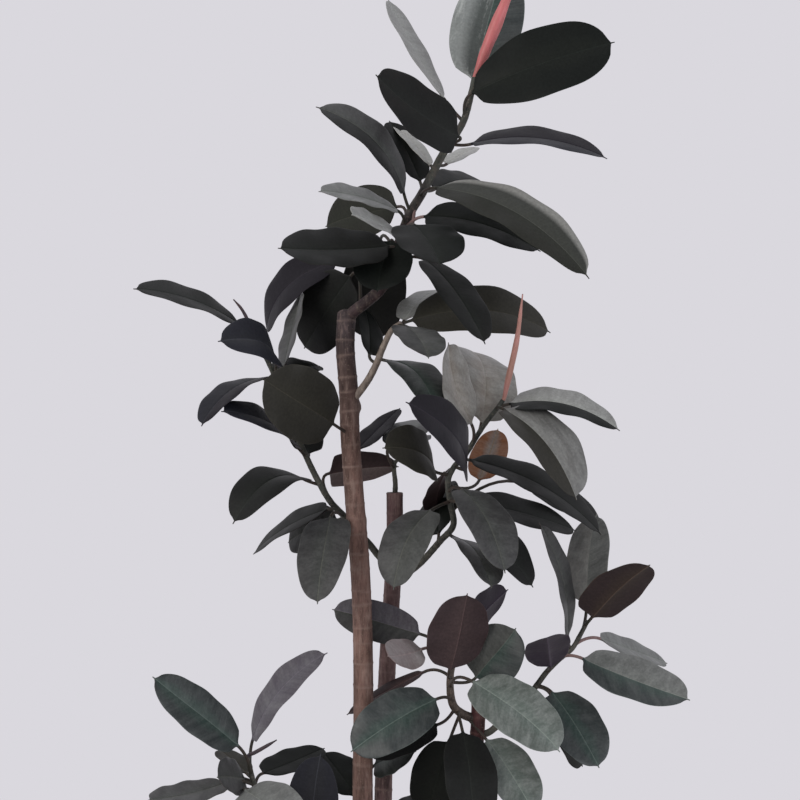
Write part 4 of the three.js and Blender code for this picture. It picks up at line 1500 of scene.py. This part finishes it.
@dataclass
class Soil:
    """Potting soil, a little higher in the middle, with bark chips and perlite on it.

    Sizes are in millimetres.

    Attributes:
        pot: the pot that it fills.
        top: how high it stands over the pot's base.
        crown: how much higher it is in the middle, and how much lower at the pot.
        chips: how many bark chips lie on it.
        grains: how many grains of perlite.
    """

    pot: Pot
    top: float = 262
    crown: float = 6
    chips: int = 150
    grains: int = 130

    CLEAR = 0.7  # left free between the soil and the pot's wall
    LIFT = 0.35  # and over the pot's floor
    CORNER = 4  # the bevel at the pot's floor
    CROWN_SLOPE = 1.1  # more than 1 ends the crown before the pot's wall
    MARGIN = (0.88, 0.12)  # the share of the radius where the top sinks at the pot, and over which
    CENTRE = 1.0
    RINGS = 75
    SIDES = 300
    CALM = 6  # width of the margin over which the crumbs grow from nothing
    CRUMBS = (40, 22, 13, 8, 5.5)  # lengths of the waves that make the crumbs
    CRUMB_WAVES = 5  # waves of each length
    CRUMB_HEIGHT = 0.028  # how high a wave goes, as a share of its length
    CRUMB_SEED = 7
    CHIP_SIZES = (9, 5.5, 2.6)
    CHIP_SEED = 11
    GRAIN_SIZES = (2.2, 1.9, 1.6)
    GRAIN_SEED = 12
    LUMP_RINGS = 6
    LUMP_SIDES = 8
    LUMP_POLE = 0.12  # the angle from the pole at which a lump's rings begin
    LUMP_BOXY = 0.6  # less than 1 presses a ball's corners out
    LUMP_ROUGH = (0.85, 1.12)
    LUMP_SIZE = (0.5, 1.0)
    LUMP_OUT = 0.35  # how much of its half height a lump's middle lies over the soil
    FREE_MARGIN = 12

    def height_at(self, radius: Array) -> Array:
        """The top's height: flat, with a crown and a low margin.

        Args:
            radius: distances from the axis.

        Returns:
            The heights.
        """
        share = radius / self.pot.inner(self.top)
        return (self.top + self.crown * (1 - ease(share * self.CROWN_SLOPE))
                - self.crown * step(share, *self.MARGIN))

    def crumbs(self, x: Array, y: Array) -> Array:
        """A crumbled surface: waves of several lengths and directions, added together.

        Args:
            x: how far right each point lies.
            y: how far back.

        Returns:
            How much each point is raised.
        """
        luck = np.random.default_rng(self.CRUMB_SEED)
        total = np.zeros_like(x)
        for size in self.CRUMBS:
            for _ in range(self.CRUMB_WAVES):
                way, shift = luck.uniform(0, 2 * np.pi), luck.uniform(0, 2 * np.pi)
                along = x * np.cos(way) + y * np.sin(way)
                total += self.CRUMB_HEIGHT * size * np.sin(2 * np.pi * along / size + shift)
        return total

    def body(self) -> Grid:
        """The soil itself: a turned profile whose top is raised and lowered by the crumbs.

        Returns:
            The soil's grid.
        """
        bottom = self.pot.floor + self.LIFT
        edge = self.pot.inner(self.top - self.crown) - self.CLEAR
        radii = np.linspace(edge, self.CENTRE, self.RINGS)
        lower = [[self.CENTRE, bottom],
                 [self.pot.inner(bottom) - self.CORNER - self.CLEAR, bottom],
                 [self.pot.inner(bottom + self.CORNER) - self.CLEAR, bottom + self.CORNER]]
        profile = np.vstack([lower, np.stack([radii, self.height_at(radii)], -1)])
        angle = around(self.SIDES)
        crumbs = self.crumbs(profile[:, :1] * np.cos(angle), profile[:, :1] * np.sin(angle))
        on_top = (np.arange(len(profile)) > len(lower))[:, None]
        calm = np.clip((edge + 1 - profile[:, :1]) / self.CALM, 0, 1)
        return turned(profile * MM, self.SIDES, crumbs * on_top * calm * MM)

    def scatter(self, count: int, sizes: Sequence[float], seed: int) -> list[Grid]:
        """Small rough lumps that lie on the soil.

        Each is a ball of a few rings, pressed to three half sizes, roughened and turned about
        its own upright.

        Args:
            count: how many.
            sizes: the greatest half length, half width and half height.
            seed: the seed of their places and shapes.

        Returns:
            One grid for each lump.
        """
        luck = np.random.default_rng(seed)
        rim = self.pot.inner(self.top) - self.FREE_MARGIN
        polar = np.linspace(self.LUMP_POLE, np.pi - self.LUMP_POLE, self.LUMP_RINGS)[:, None]
        angle = around(self.LUMP_SIDES)
        ball = side_by_side(np.sin(polar) * np.cos(angle), np.sin(polar) * np.sin(angle),
                            -np.cos(polar))
        boxy = np.sign(ball) * np.abs(ball) ** self.LUMP_BOXY
        finish = np.zeros((self.LUMP_RINGS - 1, self.LUMP_SIDES), int)
        lumps = []
        for _ in range(count):
            radius = rim * math.sqrt(luck.uniform(0.0, 1.0))
            way = luck.uniform(0, 2 * np.pi)
            half = np.array(sizes) * luck.uniform(*self.LUMP_SIZE, 3)
            lump = boxy * half * luck.uniform(*self.LUMP_ROUGH, ball.shape[:2])[..., None]
            turn = luck.uniform(0, 2 * np.pi)
            spin = np.array([[math.cos(turn), math.sin(turn), 0],
                             [-math.sin(turn), math.cos(turn), 0], [0, 0, 1]])
            x, y = radius * math.cos(way), radius * math.sin(way)
            z = self.height_at(np.array(radius)) + self.crumbs(np.array(x), np.array(y))
            points = (lump @ spin + [x, y, float(z) + self.LUMP_OUT * half[2]]) * MM
            lumps.append(Grid(points, points, finish, (0, 0)))
        return lumps

    def build(self) -> list[bpy.types.Object]:
        """Builds the soil, the chips and the perlite.

        Returns:
            The objects.
        """
        chips = self.scatter(self.chips, self.CHIP_SIZES, self.CHIP_SEED)
        grains = self.scatter(self.grains, self.GRAIN_SIZES, self.GRAIN_SEED)
        parts = (("potting_soil", Stuff.SOIL, [self.body()]), ("bark_chips", Stuff.CHIP, chips),
                 ("perlite", Stuff.GRIT, grains))
        return [Piece(name, "soil", "soil", [made(stuff.value)], grids).build()
                for name, stuff, grids in parts]


MAIN_TRUNK = Stem(
    axis=((-24, 215, -28), (-23, 330, -28), (-22, 450, -27), (-24, 560, -26), (-26, 660, -26),
          (-25, 780, -25), (-26, 900, -25), (-30, 1000, -24), (-38, 1100, -23),
          (-45, 1200, -22), (-47, 1262, -22), (-52, 1330, -22), (-50, 1378, -22)),
    radii=(15.5, 14), bark=Stuff.OLD_BARK, gap=26, proud=0.9, sides=56, step=2.5,
    knobs=(Bump(1240, -60, 9, 5), Bump(1070, -100, 7, 1.2), Bump(780, 200, 6, 4.5),
           Bump(1130, 20, 6, 2.5), Bump(930, -140, 6, 1.6)))
SECOND_TRUNK = Stem(
    axis=((0, 215, 40), (1, 330, 40), (3, 460, 40), (4, 560, 40), (5, 660, 40), (9, 800, 41),
          (12, 870, 41), (19, 980, 42), (22, 1050, 42), (22, 1110, 42)),
    radii=(14, 12.5), bark=Stuff.GREY_BARK, gap=24, proud=0.8, sides=48, step=3, cut=True,
    knobs=(Bump(860, -70, 7, 2.5),))
THIRD_TRUNK = Stem(
    axis=((35, 215, -30), (42, 310, -26), (62, 400, -22), (92, 500, -20), (120, 600, -20),
          (138, 690, -20), (146, 750, -20), (148, 797, -20)),
    radii=(12.5, 10.5), bark=Stuff.RED_BARK, gap=22, proud=0.8, sides=48, step=3, cut=True,
    knobs=(Bump(720, -120, 6, 1.8),))

LEADER = Shoot("leader_shoot", Stem(
    axis=((-50, 1368, -22), (-40, 1382, -29), (-22, 1396, -36), (2, 1418, -40), (18, 1450, -38),
          (30, 1490, -34), (45, 1530, -28), (62, 1558, -22), (78, 1588, -18), (95, 1620, -14),
          (112, 1645, -10), (126, 1670, -6), (137, 1710, -3), (142, 1732, 0)),
    radii=(9, 4.5), bark=Stuff.RED_TWIG), [
    Leaf((128, 1674), (138, 1710, -26), (352, 1787, -66), 112, 19, 14, Look.BLACK, belly=0.54),
    Leaf((137, 1712), (139, 1730, 16), (188, 1902, 66), 108, 4, -8, Look.MIRROR, Look.SEA),
    Leaf((125, 1668), (96, 1702, 14), (12, 1852, 112), 68, 60, -4, Look.PALE, belly=0.6),
    Leaf((107, 1633), (118, 1645, -32), (-6, 1738, -132), 102, 36, -10, Look.DARK, belly=0.36),
    Leaf((104, 1634), (137, 1634, -20), (341, 1612, -64), 80, 60, 20, Look.PLUM, Look.INK,
         belly=0.4),
    Leaf((84, 1600), (76, 1602, 4), (20, 1662, 52), 32, 52, 4, Look.GLANCING_SHEEN),
    Leaf((86, 1604), (100, 1604, 6), (147, 1629, 60), 38, 54, 2, Look.GLANCING_SHEEN),
    Leaf((46, 1532), (36, 1559, -46), (-96, 1690, -104), 90, 58, 28, Look.DARK, Look.MID),
    Leaf((38, 1510), (26, 1534, -54), (-92, 1563, -112), 72, 64, 6, Look.GREY),
    Leaf((28, 1484), (26, 1540, -4), (-82, 1510, 90), 88, 16, 4, Look.SHADE),
    Leaf((56, 1540), (32, 1496, -84), (-42, 1528, -196), 62, 62, 2, Look.PALE,
         stalk=Stuff.ROSY_PETIOLE),
    Leaf((24, 1468), (14, 1480, -66), (-153, 1478, -120), 100, 50, -4, Look.DARK),
    Leaf((33, 1496), (66, 1525, -52), (241, 1473, -74), 90, 52, 17, Look.BLACK, belly=0.4,
         stalk=Stuff.ROSY_PETIOLE),
    Leaf((60, 1556), (84, 1568, -64), (314, 1432, -170), 90, 42, 34, Look.RIMMED, Look.SHADE),
    Leaf((32, 1492), (52, 1512, -98), (90, 1452, -196), 100, 28, 6, Look.BLACK, Look.DARK),
    Leaf((67, 1567), (82, 1566, 14), (153, 1578, 110), 76, 50, 8, Look.DARK),
    Leaf((24, 1462), (68, 1460, -44), (158, 1334, -168), 74, 46, 12, Look.DARK),
    Leaf((14, 1444), (-62, 1460, 44), (-170, 1352, 112), 84, 48, 33, Look.PLUM),
    Leaf((-30, 1391), (-44, 1436, 10), (-114, 1327, 96), 98, 20, 6, Look.DARK),
    Leaf((24, 1470), (0, 1486, 26), (-16, 1340, 136), 102, 4, 4, Look.DARK),
    Leaf((25, 1472), (16, 1488, -54), (-4, 1412, -94), 86, 10, 4, Look.BLACK),
    Leaf((50, 1538), (60, 1578, 10), (14, 1669, 48), 66, 44, 4, Look.DARK),
])
UPPER_RIGHT_SHOOT = Shoot("upper_right_shoot", Stem(
    axis=((-46, 1244, -22), (-35, 1257, -27), (-18, 1280, -33), (-5, 1305, -37),
          (5, 1330, -39), (18, 1355, -39), (31, 1365, -38)),
    radii=(6, 4), bark=Stuff.PALE_TWIG), [
    Leaf((27, 1362), (46, 1369, -34), (256, 1351, -4), 94, 40, 34, Look.OLIVE),
    Leaf((20, 1356), (36, 1369, -16), (93, 1415, 66), 60, 58, 10, Look.PALE),
    Leaf((27, 1362), (40, 1360, -64), (73, 1313, -190), 72, 38, 6, Look.SLATE, Look.MID),
    Leaf((-5, 1305), (-16, 1318, -20), (-24, 1388, 38), 58, 56, 4, Look.BLACK),
    Leaf((-2, 1312), (16, 1308, -44), (84, 1232, -146), 80, 52, 20, Look.GREEN),
])
LEFT_SHOOT = Shoot("left_shoot", Stem(
    axis=((20, 1000, 42), (4, 1010, 36), (-18, 1036, 30), (-36, 1054, 24), (-50, 1072, 16),
          (-73, 1096, 4), (-95, 1133, -12), (-112, 1168, -22), (-140, 1230, -28),
          (-160, 1290, -30), (-180, 1332, -32), (-192, 1356, -34)),
    radii=(5.5, 3.4)), [
    Leaf((-156, 1280), (-144, 1300, -16), (-118, 1412, 40), 74, 68, 0, Look.MID),
    Leaf((-158, 1284), (-156, 1304, -46), (-243, 1338, -150), 84, 55, 27, Look.INK, belly=0.36),
    Leaf((-186, 1344), (-210, 1362, -42), (-370, 1417, -128), 80, 69, 13, Look.DARK),
    Leaf((-152, 1264), (-158, 1288, -10), (-90, 1301, 62), 66, 60, 4, Look.DARK),
    Leaf((-152, 1266), (-176, 1282, -44), (-268, 1211, -150), 70, 60, 16, Look.PLUM, Look.INK,
         belly=0.36),
    Leaf((-110, 1166), (-124, 1180, -42), (-238, 1233, -150), 76, 76, 15, Look.INK),
    Leaf((-112, 1168), (-107, 1169, -6), (-128, 1262, 92), 56, 26, 4, Look.DARK, belly=0.36),
    Leaf((-86, 1124), (-112, 1130, -24), (-221, 1064, -128), 82, 54, 34, Look.DARK),
    Leaf((-60, 1086), (-78, 1086, 22), (-189, 1020, 116), 72, 74, 10, Look.DARK),
    Leaf((-52, 1076), (-74, 1074, -24), (-94, 944, -120), 78, 18, 6, Look.MID, belly=0.36),
    Leaf((-54, 1078), (-64, 1070, 40), (-138, 1036, 120), 72, 38, 6, Look.MID),
    Leaf((-66, 1092), (-76, 1140, 30), (28, 1150, 66), 62, 148, 4, Look.PINK, Look.WINE,
         belly=0.25),
])
CUT_TRUNK_SHOOT = Shoot("cut_trunk_shoot", Stem(
    axis=((22, 1102, 42), (23, 1124, 42), (21, 1146, 40), (22, 1158, 38)), radii=(4.2, 3.2)), [
    Leaf((21, 1148), (14, 1180, 26), (76, 1216, 112), 62, 56, 6, Look.GREY, Look.MID),
    Leaf((22, 1154), (32, 1168, 52), (60, 1196, 160), 60, 58, 2, Look.MID),
])
RIGHT_SHOOT = Shoot("right_shoot", Stem(
    axis=((20, 975, 42), (34, 985, 30), (60, 1005, 8), (90, 1038, -20), (110, 1062, -38),
          (106, 1095, -50), (102, 1128, -56), (110, 1148, -58), (128, 1168, -58),
          (143, 1192, -56), (156, 1212, -54), (180, 1243, -50), (184, 1249, -50)),
    radii=(5.5, 3.4)), [
    Leaf((103, 1138), (80, 1146, -78), (4, 1178, -172), 78, 44, 20, Look.OLIVE),
    Leaf((112, 1150), (129, 1150, -96), (39, 1247, -240), 86, 52, 22, Look.PLUM, belly=0.36),
    Leaf((139, 1186), (137, 1214, -72), (103, 1336, -132), 78, 54, -8, Look.LILAC),
    Leaf((145, 1196), (152, 1216, -24), (138, 1323, 96), 106, 30, 26, Look.LILAC),
    Leaf((178, 1240), (194, 1244, -52), (360, 1204, -84), 80, 62, 22, Look.PALE, Look.BLACK,
         belly=0.38),
    Leaf((176, 1238), (186, 1236, -84), (295, 1100, -150), 96, 46, 22, Look.SILVER, Look.OLIVE,
         fold=0.25),
    Leaf((116, 1156), (134, 1160, -70), (332, 1048, -100), 88, 66, 20, Look.DARK),
    Leaf((106, 1100), (140, 1096, -40), (294, 1054, 14), 80, 64, 5, Look.DARK),
    Leaf((107, 1084), (216, 1125, 24), (335, 1058, 112), 76, 58, 10, Look.DARK),
    Leaf((104, 1112), (122, 1116, -96), (188, 990, -190), 82, 42, 18, Look.MID),
    Leaf((106, 1098), (126, 1090, -82), (230, 969, -122), 80, 56, 8, Look.DARK),
    Leaf((100, 1050), (116, 1042, -40), (168, 968, -146), 70, 60, 14, Look.MID),
    Leaf((105, 1098), (76, 1084, -80), (20, 965, -148), 78, 38, 22, Look.SLATE, Look.MID),
    Leaf((86, 1034), (88, 1049, -6), (94, 1122, 112), 80, 46, 4, Look.BLACK),
    Leaf((102, 1130), (96, 1140, -40), (82, 1084, 70), 58, 126, 4, Look.WINE),
])
LOWER_MIDDLE_SHOOT = Shoot("lower_middle_shoot", Stem(
    axis=((142, 772, -20), (124, 779, -24), (110, 792, -28), (105, 830, -28), (110, 860, -26),
          (115, 886, -22)),
    radii=(7, 4.2), bark=Stuff.BROWN_TWIG), [
    Leaf((111, 864), (60, 899, 6), (-72, 936, 12), 60, 6, 4, Look.MID, Look.DUSTY),
    Leaf((113, 876), (62, 876, -60), (12, 866, -150), 54, 50, -6, Look.PINK,
         stalk=Stuff.ROSY_PETIOLE),
    Leaf((105, 835), (66, 842, 2), (-50, 778, 14), 34, 68, 2, Look.WINE),
    Leaf((108, 800), (84, 801, -64), (-44, 722, -104), 84, 30, 14, Look.SEA),
    Leaf((112, 788), (86, 763, -44), (-20, 718, -62), 66, 48, 6, Look.DARK),
    Leaf((106, 834), (105, 846, -62), (131, 960, -92), 96, 156, -6, Look.WINE),
    Leaf((111, 866), (120, 886, -4), (192, 966, 82), 76, 132, 6, Look.PURPLE),
    Leaf((106, 827), (144, 834, -30), (204, 908, -62), 88, 22, 6, Look.SLATE, Look.SEA),
    Leaf((105, 819), (140, 827, -108), (270, 722, -186), 88, 38, 10, Look.MOSS),
    Leaf((116, 784), (124, 752, -70), (141, 603, -146), 82, 24, 8, Look.DARK),
    Leaf((120, 780), (104, 738, -44), (74, 620, 24), 80, 24, 8, Look.BLACK),
    Leaf((129, 777), (160, 740, -40), (233, 629, -100), 78, 34, 8, Look.MOSS),
])
LOWER_RIGHT_SHOOT = Shoot("lower_right_shoot", Stem(
    axis=((147, 748, -20), (162, 751, -22), (185, 770, -26), (210, 793, -28), (232, 818, -30),
          (250, 842, -32), (270, 862, -33), (288, 877, -34), (300, 897, -34),
          (311, 918, -34)),
    radii=(5.2, 3.2)), [
    Leaf((235, 822), (258, 811, -48), (329, 698, -122), 84, 32, 8, Look.SEA),
    Leaf((234, 820), (256, 808, -14), (304, 700, 46), 62, 40, 6, Look.DARK),
    Leaf((286, 876), (281, 894, -38), (239, 1066, -66), 66, 65, 15, Look.MID),
    Leaf((304, 905), (310, 944, -10), (325, 1079, 34), 74, 40, 6, Look.SILVER, Look.GREY),
    Leaf((308, 912), (318, 924, -48), (405, 1003, -136), 82, 152, 6, Look.OLIVE, belly=0.38),
    Leaf((292, 884), (330, 892, -10), (431, 855, 52), 60, 72, 0, Look.GREY,
         stalk=Stuff.ROSY_PETIOLE),
    Leaf((274, 866), (304, 862, -58), (465, 800, -124), 86, 52, -4, Look.GREY, Look.SEA,
         stalk=Stuff.ROSY_PETIOLE),
    Leaf((250, 842), (256, 850, -52), (250, 894, -165), 68, 180, 6, Look.PURPLE),
])
LOWER_LEFT_SHOOT = Shoot("lower_left_shoot", Stem(
    axis=((-23, 468, -27), (-46, 486, -34), (-90, 530, -44), (-150, 600, -52),
          (-184, 660, -52), (-196, 703, -50), (-197, 713, -49)),
    radii=(6, 3.6)), [
    Leaf((-193, 688), (-213, 731, -70), (-341, 835, -124), 70, 46, 4, Look.SEA),
    Leaf((-195, 698), (-191, 740, -32), (-79, 871, -66), 72, 60, 19, Look.DUSTY),
    Leaf((-190, 684), (-200, 690, -30), (-241, 725, 20), 48, 74, 2, Look.OLIVE),
    Leaf((-186, 668), (-176, 690, -26), (-83, 728, 60), 66, 70, -2, Look.BLACK),
    Leaf((-112, 556), (-104, 584, -66), (-89, 719, -122), 76, 14, 6, Look.INK),
    Leaf((-186, 664), (-202, 664, -96), (-122, 600, -226), 80, 50, 6, Look.GREY),
    Leaf((-189, 678), (-204, 682, -44), (-244, 684, -136), 58, 66, 2, Look.MID),
    Leaf((-188, 672), (-230, 676, -70), (-348, 650, -142), 72, 80, -5, Look.MID),
    Leaf((-138, 586), (-170, 578, -66), (-300, 520, -126), 84, 40, 14, Look.DARK),
    Leaf((-104, 546), (-96, 520, -70), (-120, 400, -142), 84, 24, 8, Look.GREEN),
    Leaf((-124, 570), (-140, 590, -14), (-210, 560, 130), 78, 50, 8, Look.DARK),
])

TRUNK_LEAVES = (
    Shoot("trunk_leaf_front", MAIN_TRUNK, [
        Leaf((-45, 1198), (-70, 1214, -58), (-176, 1282, -170), 104, 14, 6, Look.OLIVE)], True),
    Shoot("trunk_leaf_back", MAIN_TRUNK, [
        Leaf((-42, 1160), (-34, 1175, 14), (30, 1238, 100), 52, 58, 0, Look.PLUM,
             belly=0.36)], True),
    Shoot("trunk_leaf_low_right", MAIN_TRUNK, [
        Leaf((-26, 672), (-8, 702, -4), (54, 723, -46), 70, 58, 4, Look.GREEN)], True),
    Shoot("trunk_leaf_low_left", MAIN_TRUNK, [
        Leaf((-26, 640), (-38, 656, -4), (-86, 722, 70), 70, 50, 4, Look.BLACK)], True),
    Shoot("trunk_leaf_hidden_right", THIRD_TRUNK, [
        Leaf((92, 500), (118, 524, -46), (262, 486, -128), 86, 44, 14, Look.GREEN)], True),
    Shoot("trunk_leaf_hidden_back", SECOND_TRUNK, [
        Leaf((4, 560), (18, 600, 64), (96, 640, 190), 82, 50, 8, Look.DARK)], True),
)
WITHERED_LEAF = Shoot("withered_leaf", RIGHT_SHOOT.stem, [
    Leaf((102, 1121), (149, 1130, 8), (177, 1207, 86), 56, 20, -6, Look.BROWN, curl=0.35),
], True, "withered_leaf")

SHEATHS = (
    Sheath("spear_top", LEADER.stem,
           ((154, 1762, -4), (171, 1805, -14), (189, 1850, -22), (206, 1893, -26)),
           (3.8, 8.4, 9.4, 7, 1.2)),
    Sheath("spear_right", RIGHT_SHOOT.stem,
           ((190, 1270, -57), (198, 1305, -66), (206, 1345, -74), (214, 1409, -80)),
           (3, 4.8, 4.4, 3.0, 1), Stuff.PALE_SHEATH),
    Sheath("spear_lower_left", LOWER_LEFT_SHOOT.stem,
           ((-188, 721, -51), (-172, 730, -55), (-155, 740, -59)),
           (2.8, 3, 2.6, 1), Stuff.DARK_SHEATH),
    Sheath("spear_left", LEFT_SHOOT.stem,
           ((-199, 1371, -34), (-208, 1387, -36), (-220, 1401, -38)),
           (2.2, 2.6, 2.2, 1), Stuff.DARK_SHEATH),
)


@dataclass(frozen=True)
class Lamp:
    """A square soft light.

    Attributes:
        name: its name.
        spot: where it hangs, in metres.
        target: the point that it faces, in metres.
        size: the length of its side, in metres.
        power: its power, in watts.
        colour: its colour.
    """

    name: str
    spot: Place
    target: Place
    size: float
    power: float
    colour: str

    def build(self) -> None:
        """Hangs the lamp and turns it to its target."""
        light = bpy.data.lights.new(self.name, "AREA")
        light.shape = "SQUARE"
        light.size = self.size
        light.energy = self.power
        light.color = to_linear(self.colour)[:3]
        lamp = bpy.data.objects.new(self.name, light)
        lamp.location = self.spot
        aim = Vector(self.target) - Vector(self.spot)
        lamp.rotation_euler = aim.to_track_quat("-Z", "Y").to_euler()
        bpy.context.scene.collection.objects.link(lamp)


@dataclass
class Studio:
    """The pale floor, the soft light and the camera.

    Attributes:
        lens: the camera's focal length, in millimetres.
        floor_radius: the floor's radius, in metres.
    """

    lens: float = 66.0
    floor_radius: float = 2.0

    SENSOR = 36  # the width of the camera's sensor, in millimetres
    FLOOR = Speckled("matt painted floor", "#dedbd6", "#d8d5d0", 25, 0.8, 0.2)
    FLOOR_RINGS = 40
    FLOOR_SIDES = 96
    FLOOR_CENTRE = 1 * MM
    FLOOR_LEVEL = -0.5 * MM
    SURROUNDINGS = "#dad8de"
    LAMPS = (
        Lamp("window", (-1.9, -1.9, 2.3), (0, 0, 1.2), 1.6, 44, "#fffaf4"),
        Lamp("fill", (2.2, -1.7, 1.5), (0, 0, 1.1), 1.4, 20, "#f6f8ff"),
        Lamp("sky", (0.3, 0.6, 3.4), (0, 0, 1.2), 1.8, 6, "#f7f9ff"),
    )

    def floor(self) -> None:
        """Makes the floor: rings of a disc just below the pot's base."""
        radius = np.linspace(self.floor_radius, self.FLOOR_CENTRE, self.FLOOR_RINGS)
        profile = np.stack([radius, np.full(self.FLOOR_RINGS, self.FLOOR_LEVEL)], -1)
        points = turned(profile, self.FLOOR_SIDES).points
        mesh = bpy.data.meshes.new("floor")
        faces = ring_faces(self.FLOOR_RINGS, self.FLOOR_SIDES)
        mesh.from_pydata(points.reshape(-1, 3), [], faces.tolist())
        mesh.materials.append(made(self.FLOOR))
        floor = bpy.data.objects.new("floor", mesh)
        bpy.context.scene.collection.objects.link(floor)

    def camera(self) -> None:
        """Adds the camera: level, and looking straight back."""
        lens = bpy.data.cameras.new("camera")
        lens.lens = self.lens
        lens.sensor_width = self.SENSOR
        camera = bpy.data.objects.new("camera", lens)
        camera.location = EYE
        camera.rotation_euler = (math.pi / 2, 0, 0)
        bpy.context.scene.collection.objects.link(camera)
        bpy.context.scene.camera = camera

    def world(self) -> None:
        """Sets the pale even surroundings and the plain view of colours."""
        world = bpy.data.worlds.new("studio")
        world.use_nodes = True
        background = world.node_tree.nodes["Background"]
        background.inputs["Color"].default_value = to_linear(self.SURROUNDINGS)
        background.inputs["Strength"].default_value = 1.0
        bpy.context.scene.world = world
        bpy.context.scene.view_settings.view_transform = "Standard"

    def build(self) -> None:
        """Sets up the whole studio."""
        self.camera()
        self.world()
        self.floor()
        for lamp in self.LAMPS:
            lamp.build()


def main() -> None:
    """Builds the plant in its pot around the frame."""
    logging.basicConfig(level=logging.INFO, format="%(message)s")
    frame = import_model()
    Studio().build()
    pot = Pot()
    pot.build()
    Soil(pot).build()
    trunks = {"main_trunk": MAIN_TRUNK, "second_trunk": SECOND_TRUNK, "third_trunk": THIRD_TRUNK}
    for name, stem in trunks.items():
        Trunk(name, stem).build()
    shoots = (LEADER, UPPER_RIGHT_SHOOT, LEFT_SHOOT, CUT_TRUNK_SHOOT, RIGHT_SHOOT,
              LOWER_MIDDLE_SHOOT, LOWER_RIGHT_SHOOT, LOWER_LEFT_SHOOT, *TRUNK_LEAVES,
              WITHERED_LEAF, *SHEATHS)
    for shoot in shoots:
        shoot.build()
    LOG.info("the frame has %d nodes", len(frame["nodes"]))


if __name__ == "__main__":
    main()
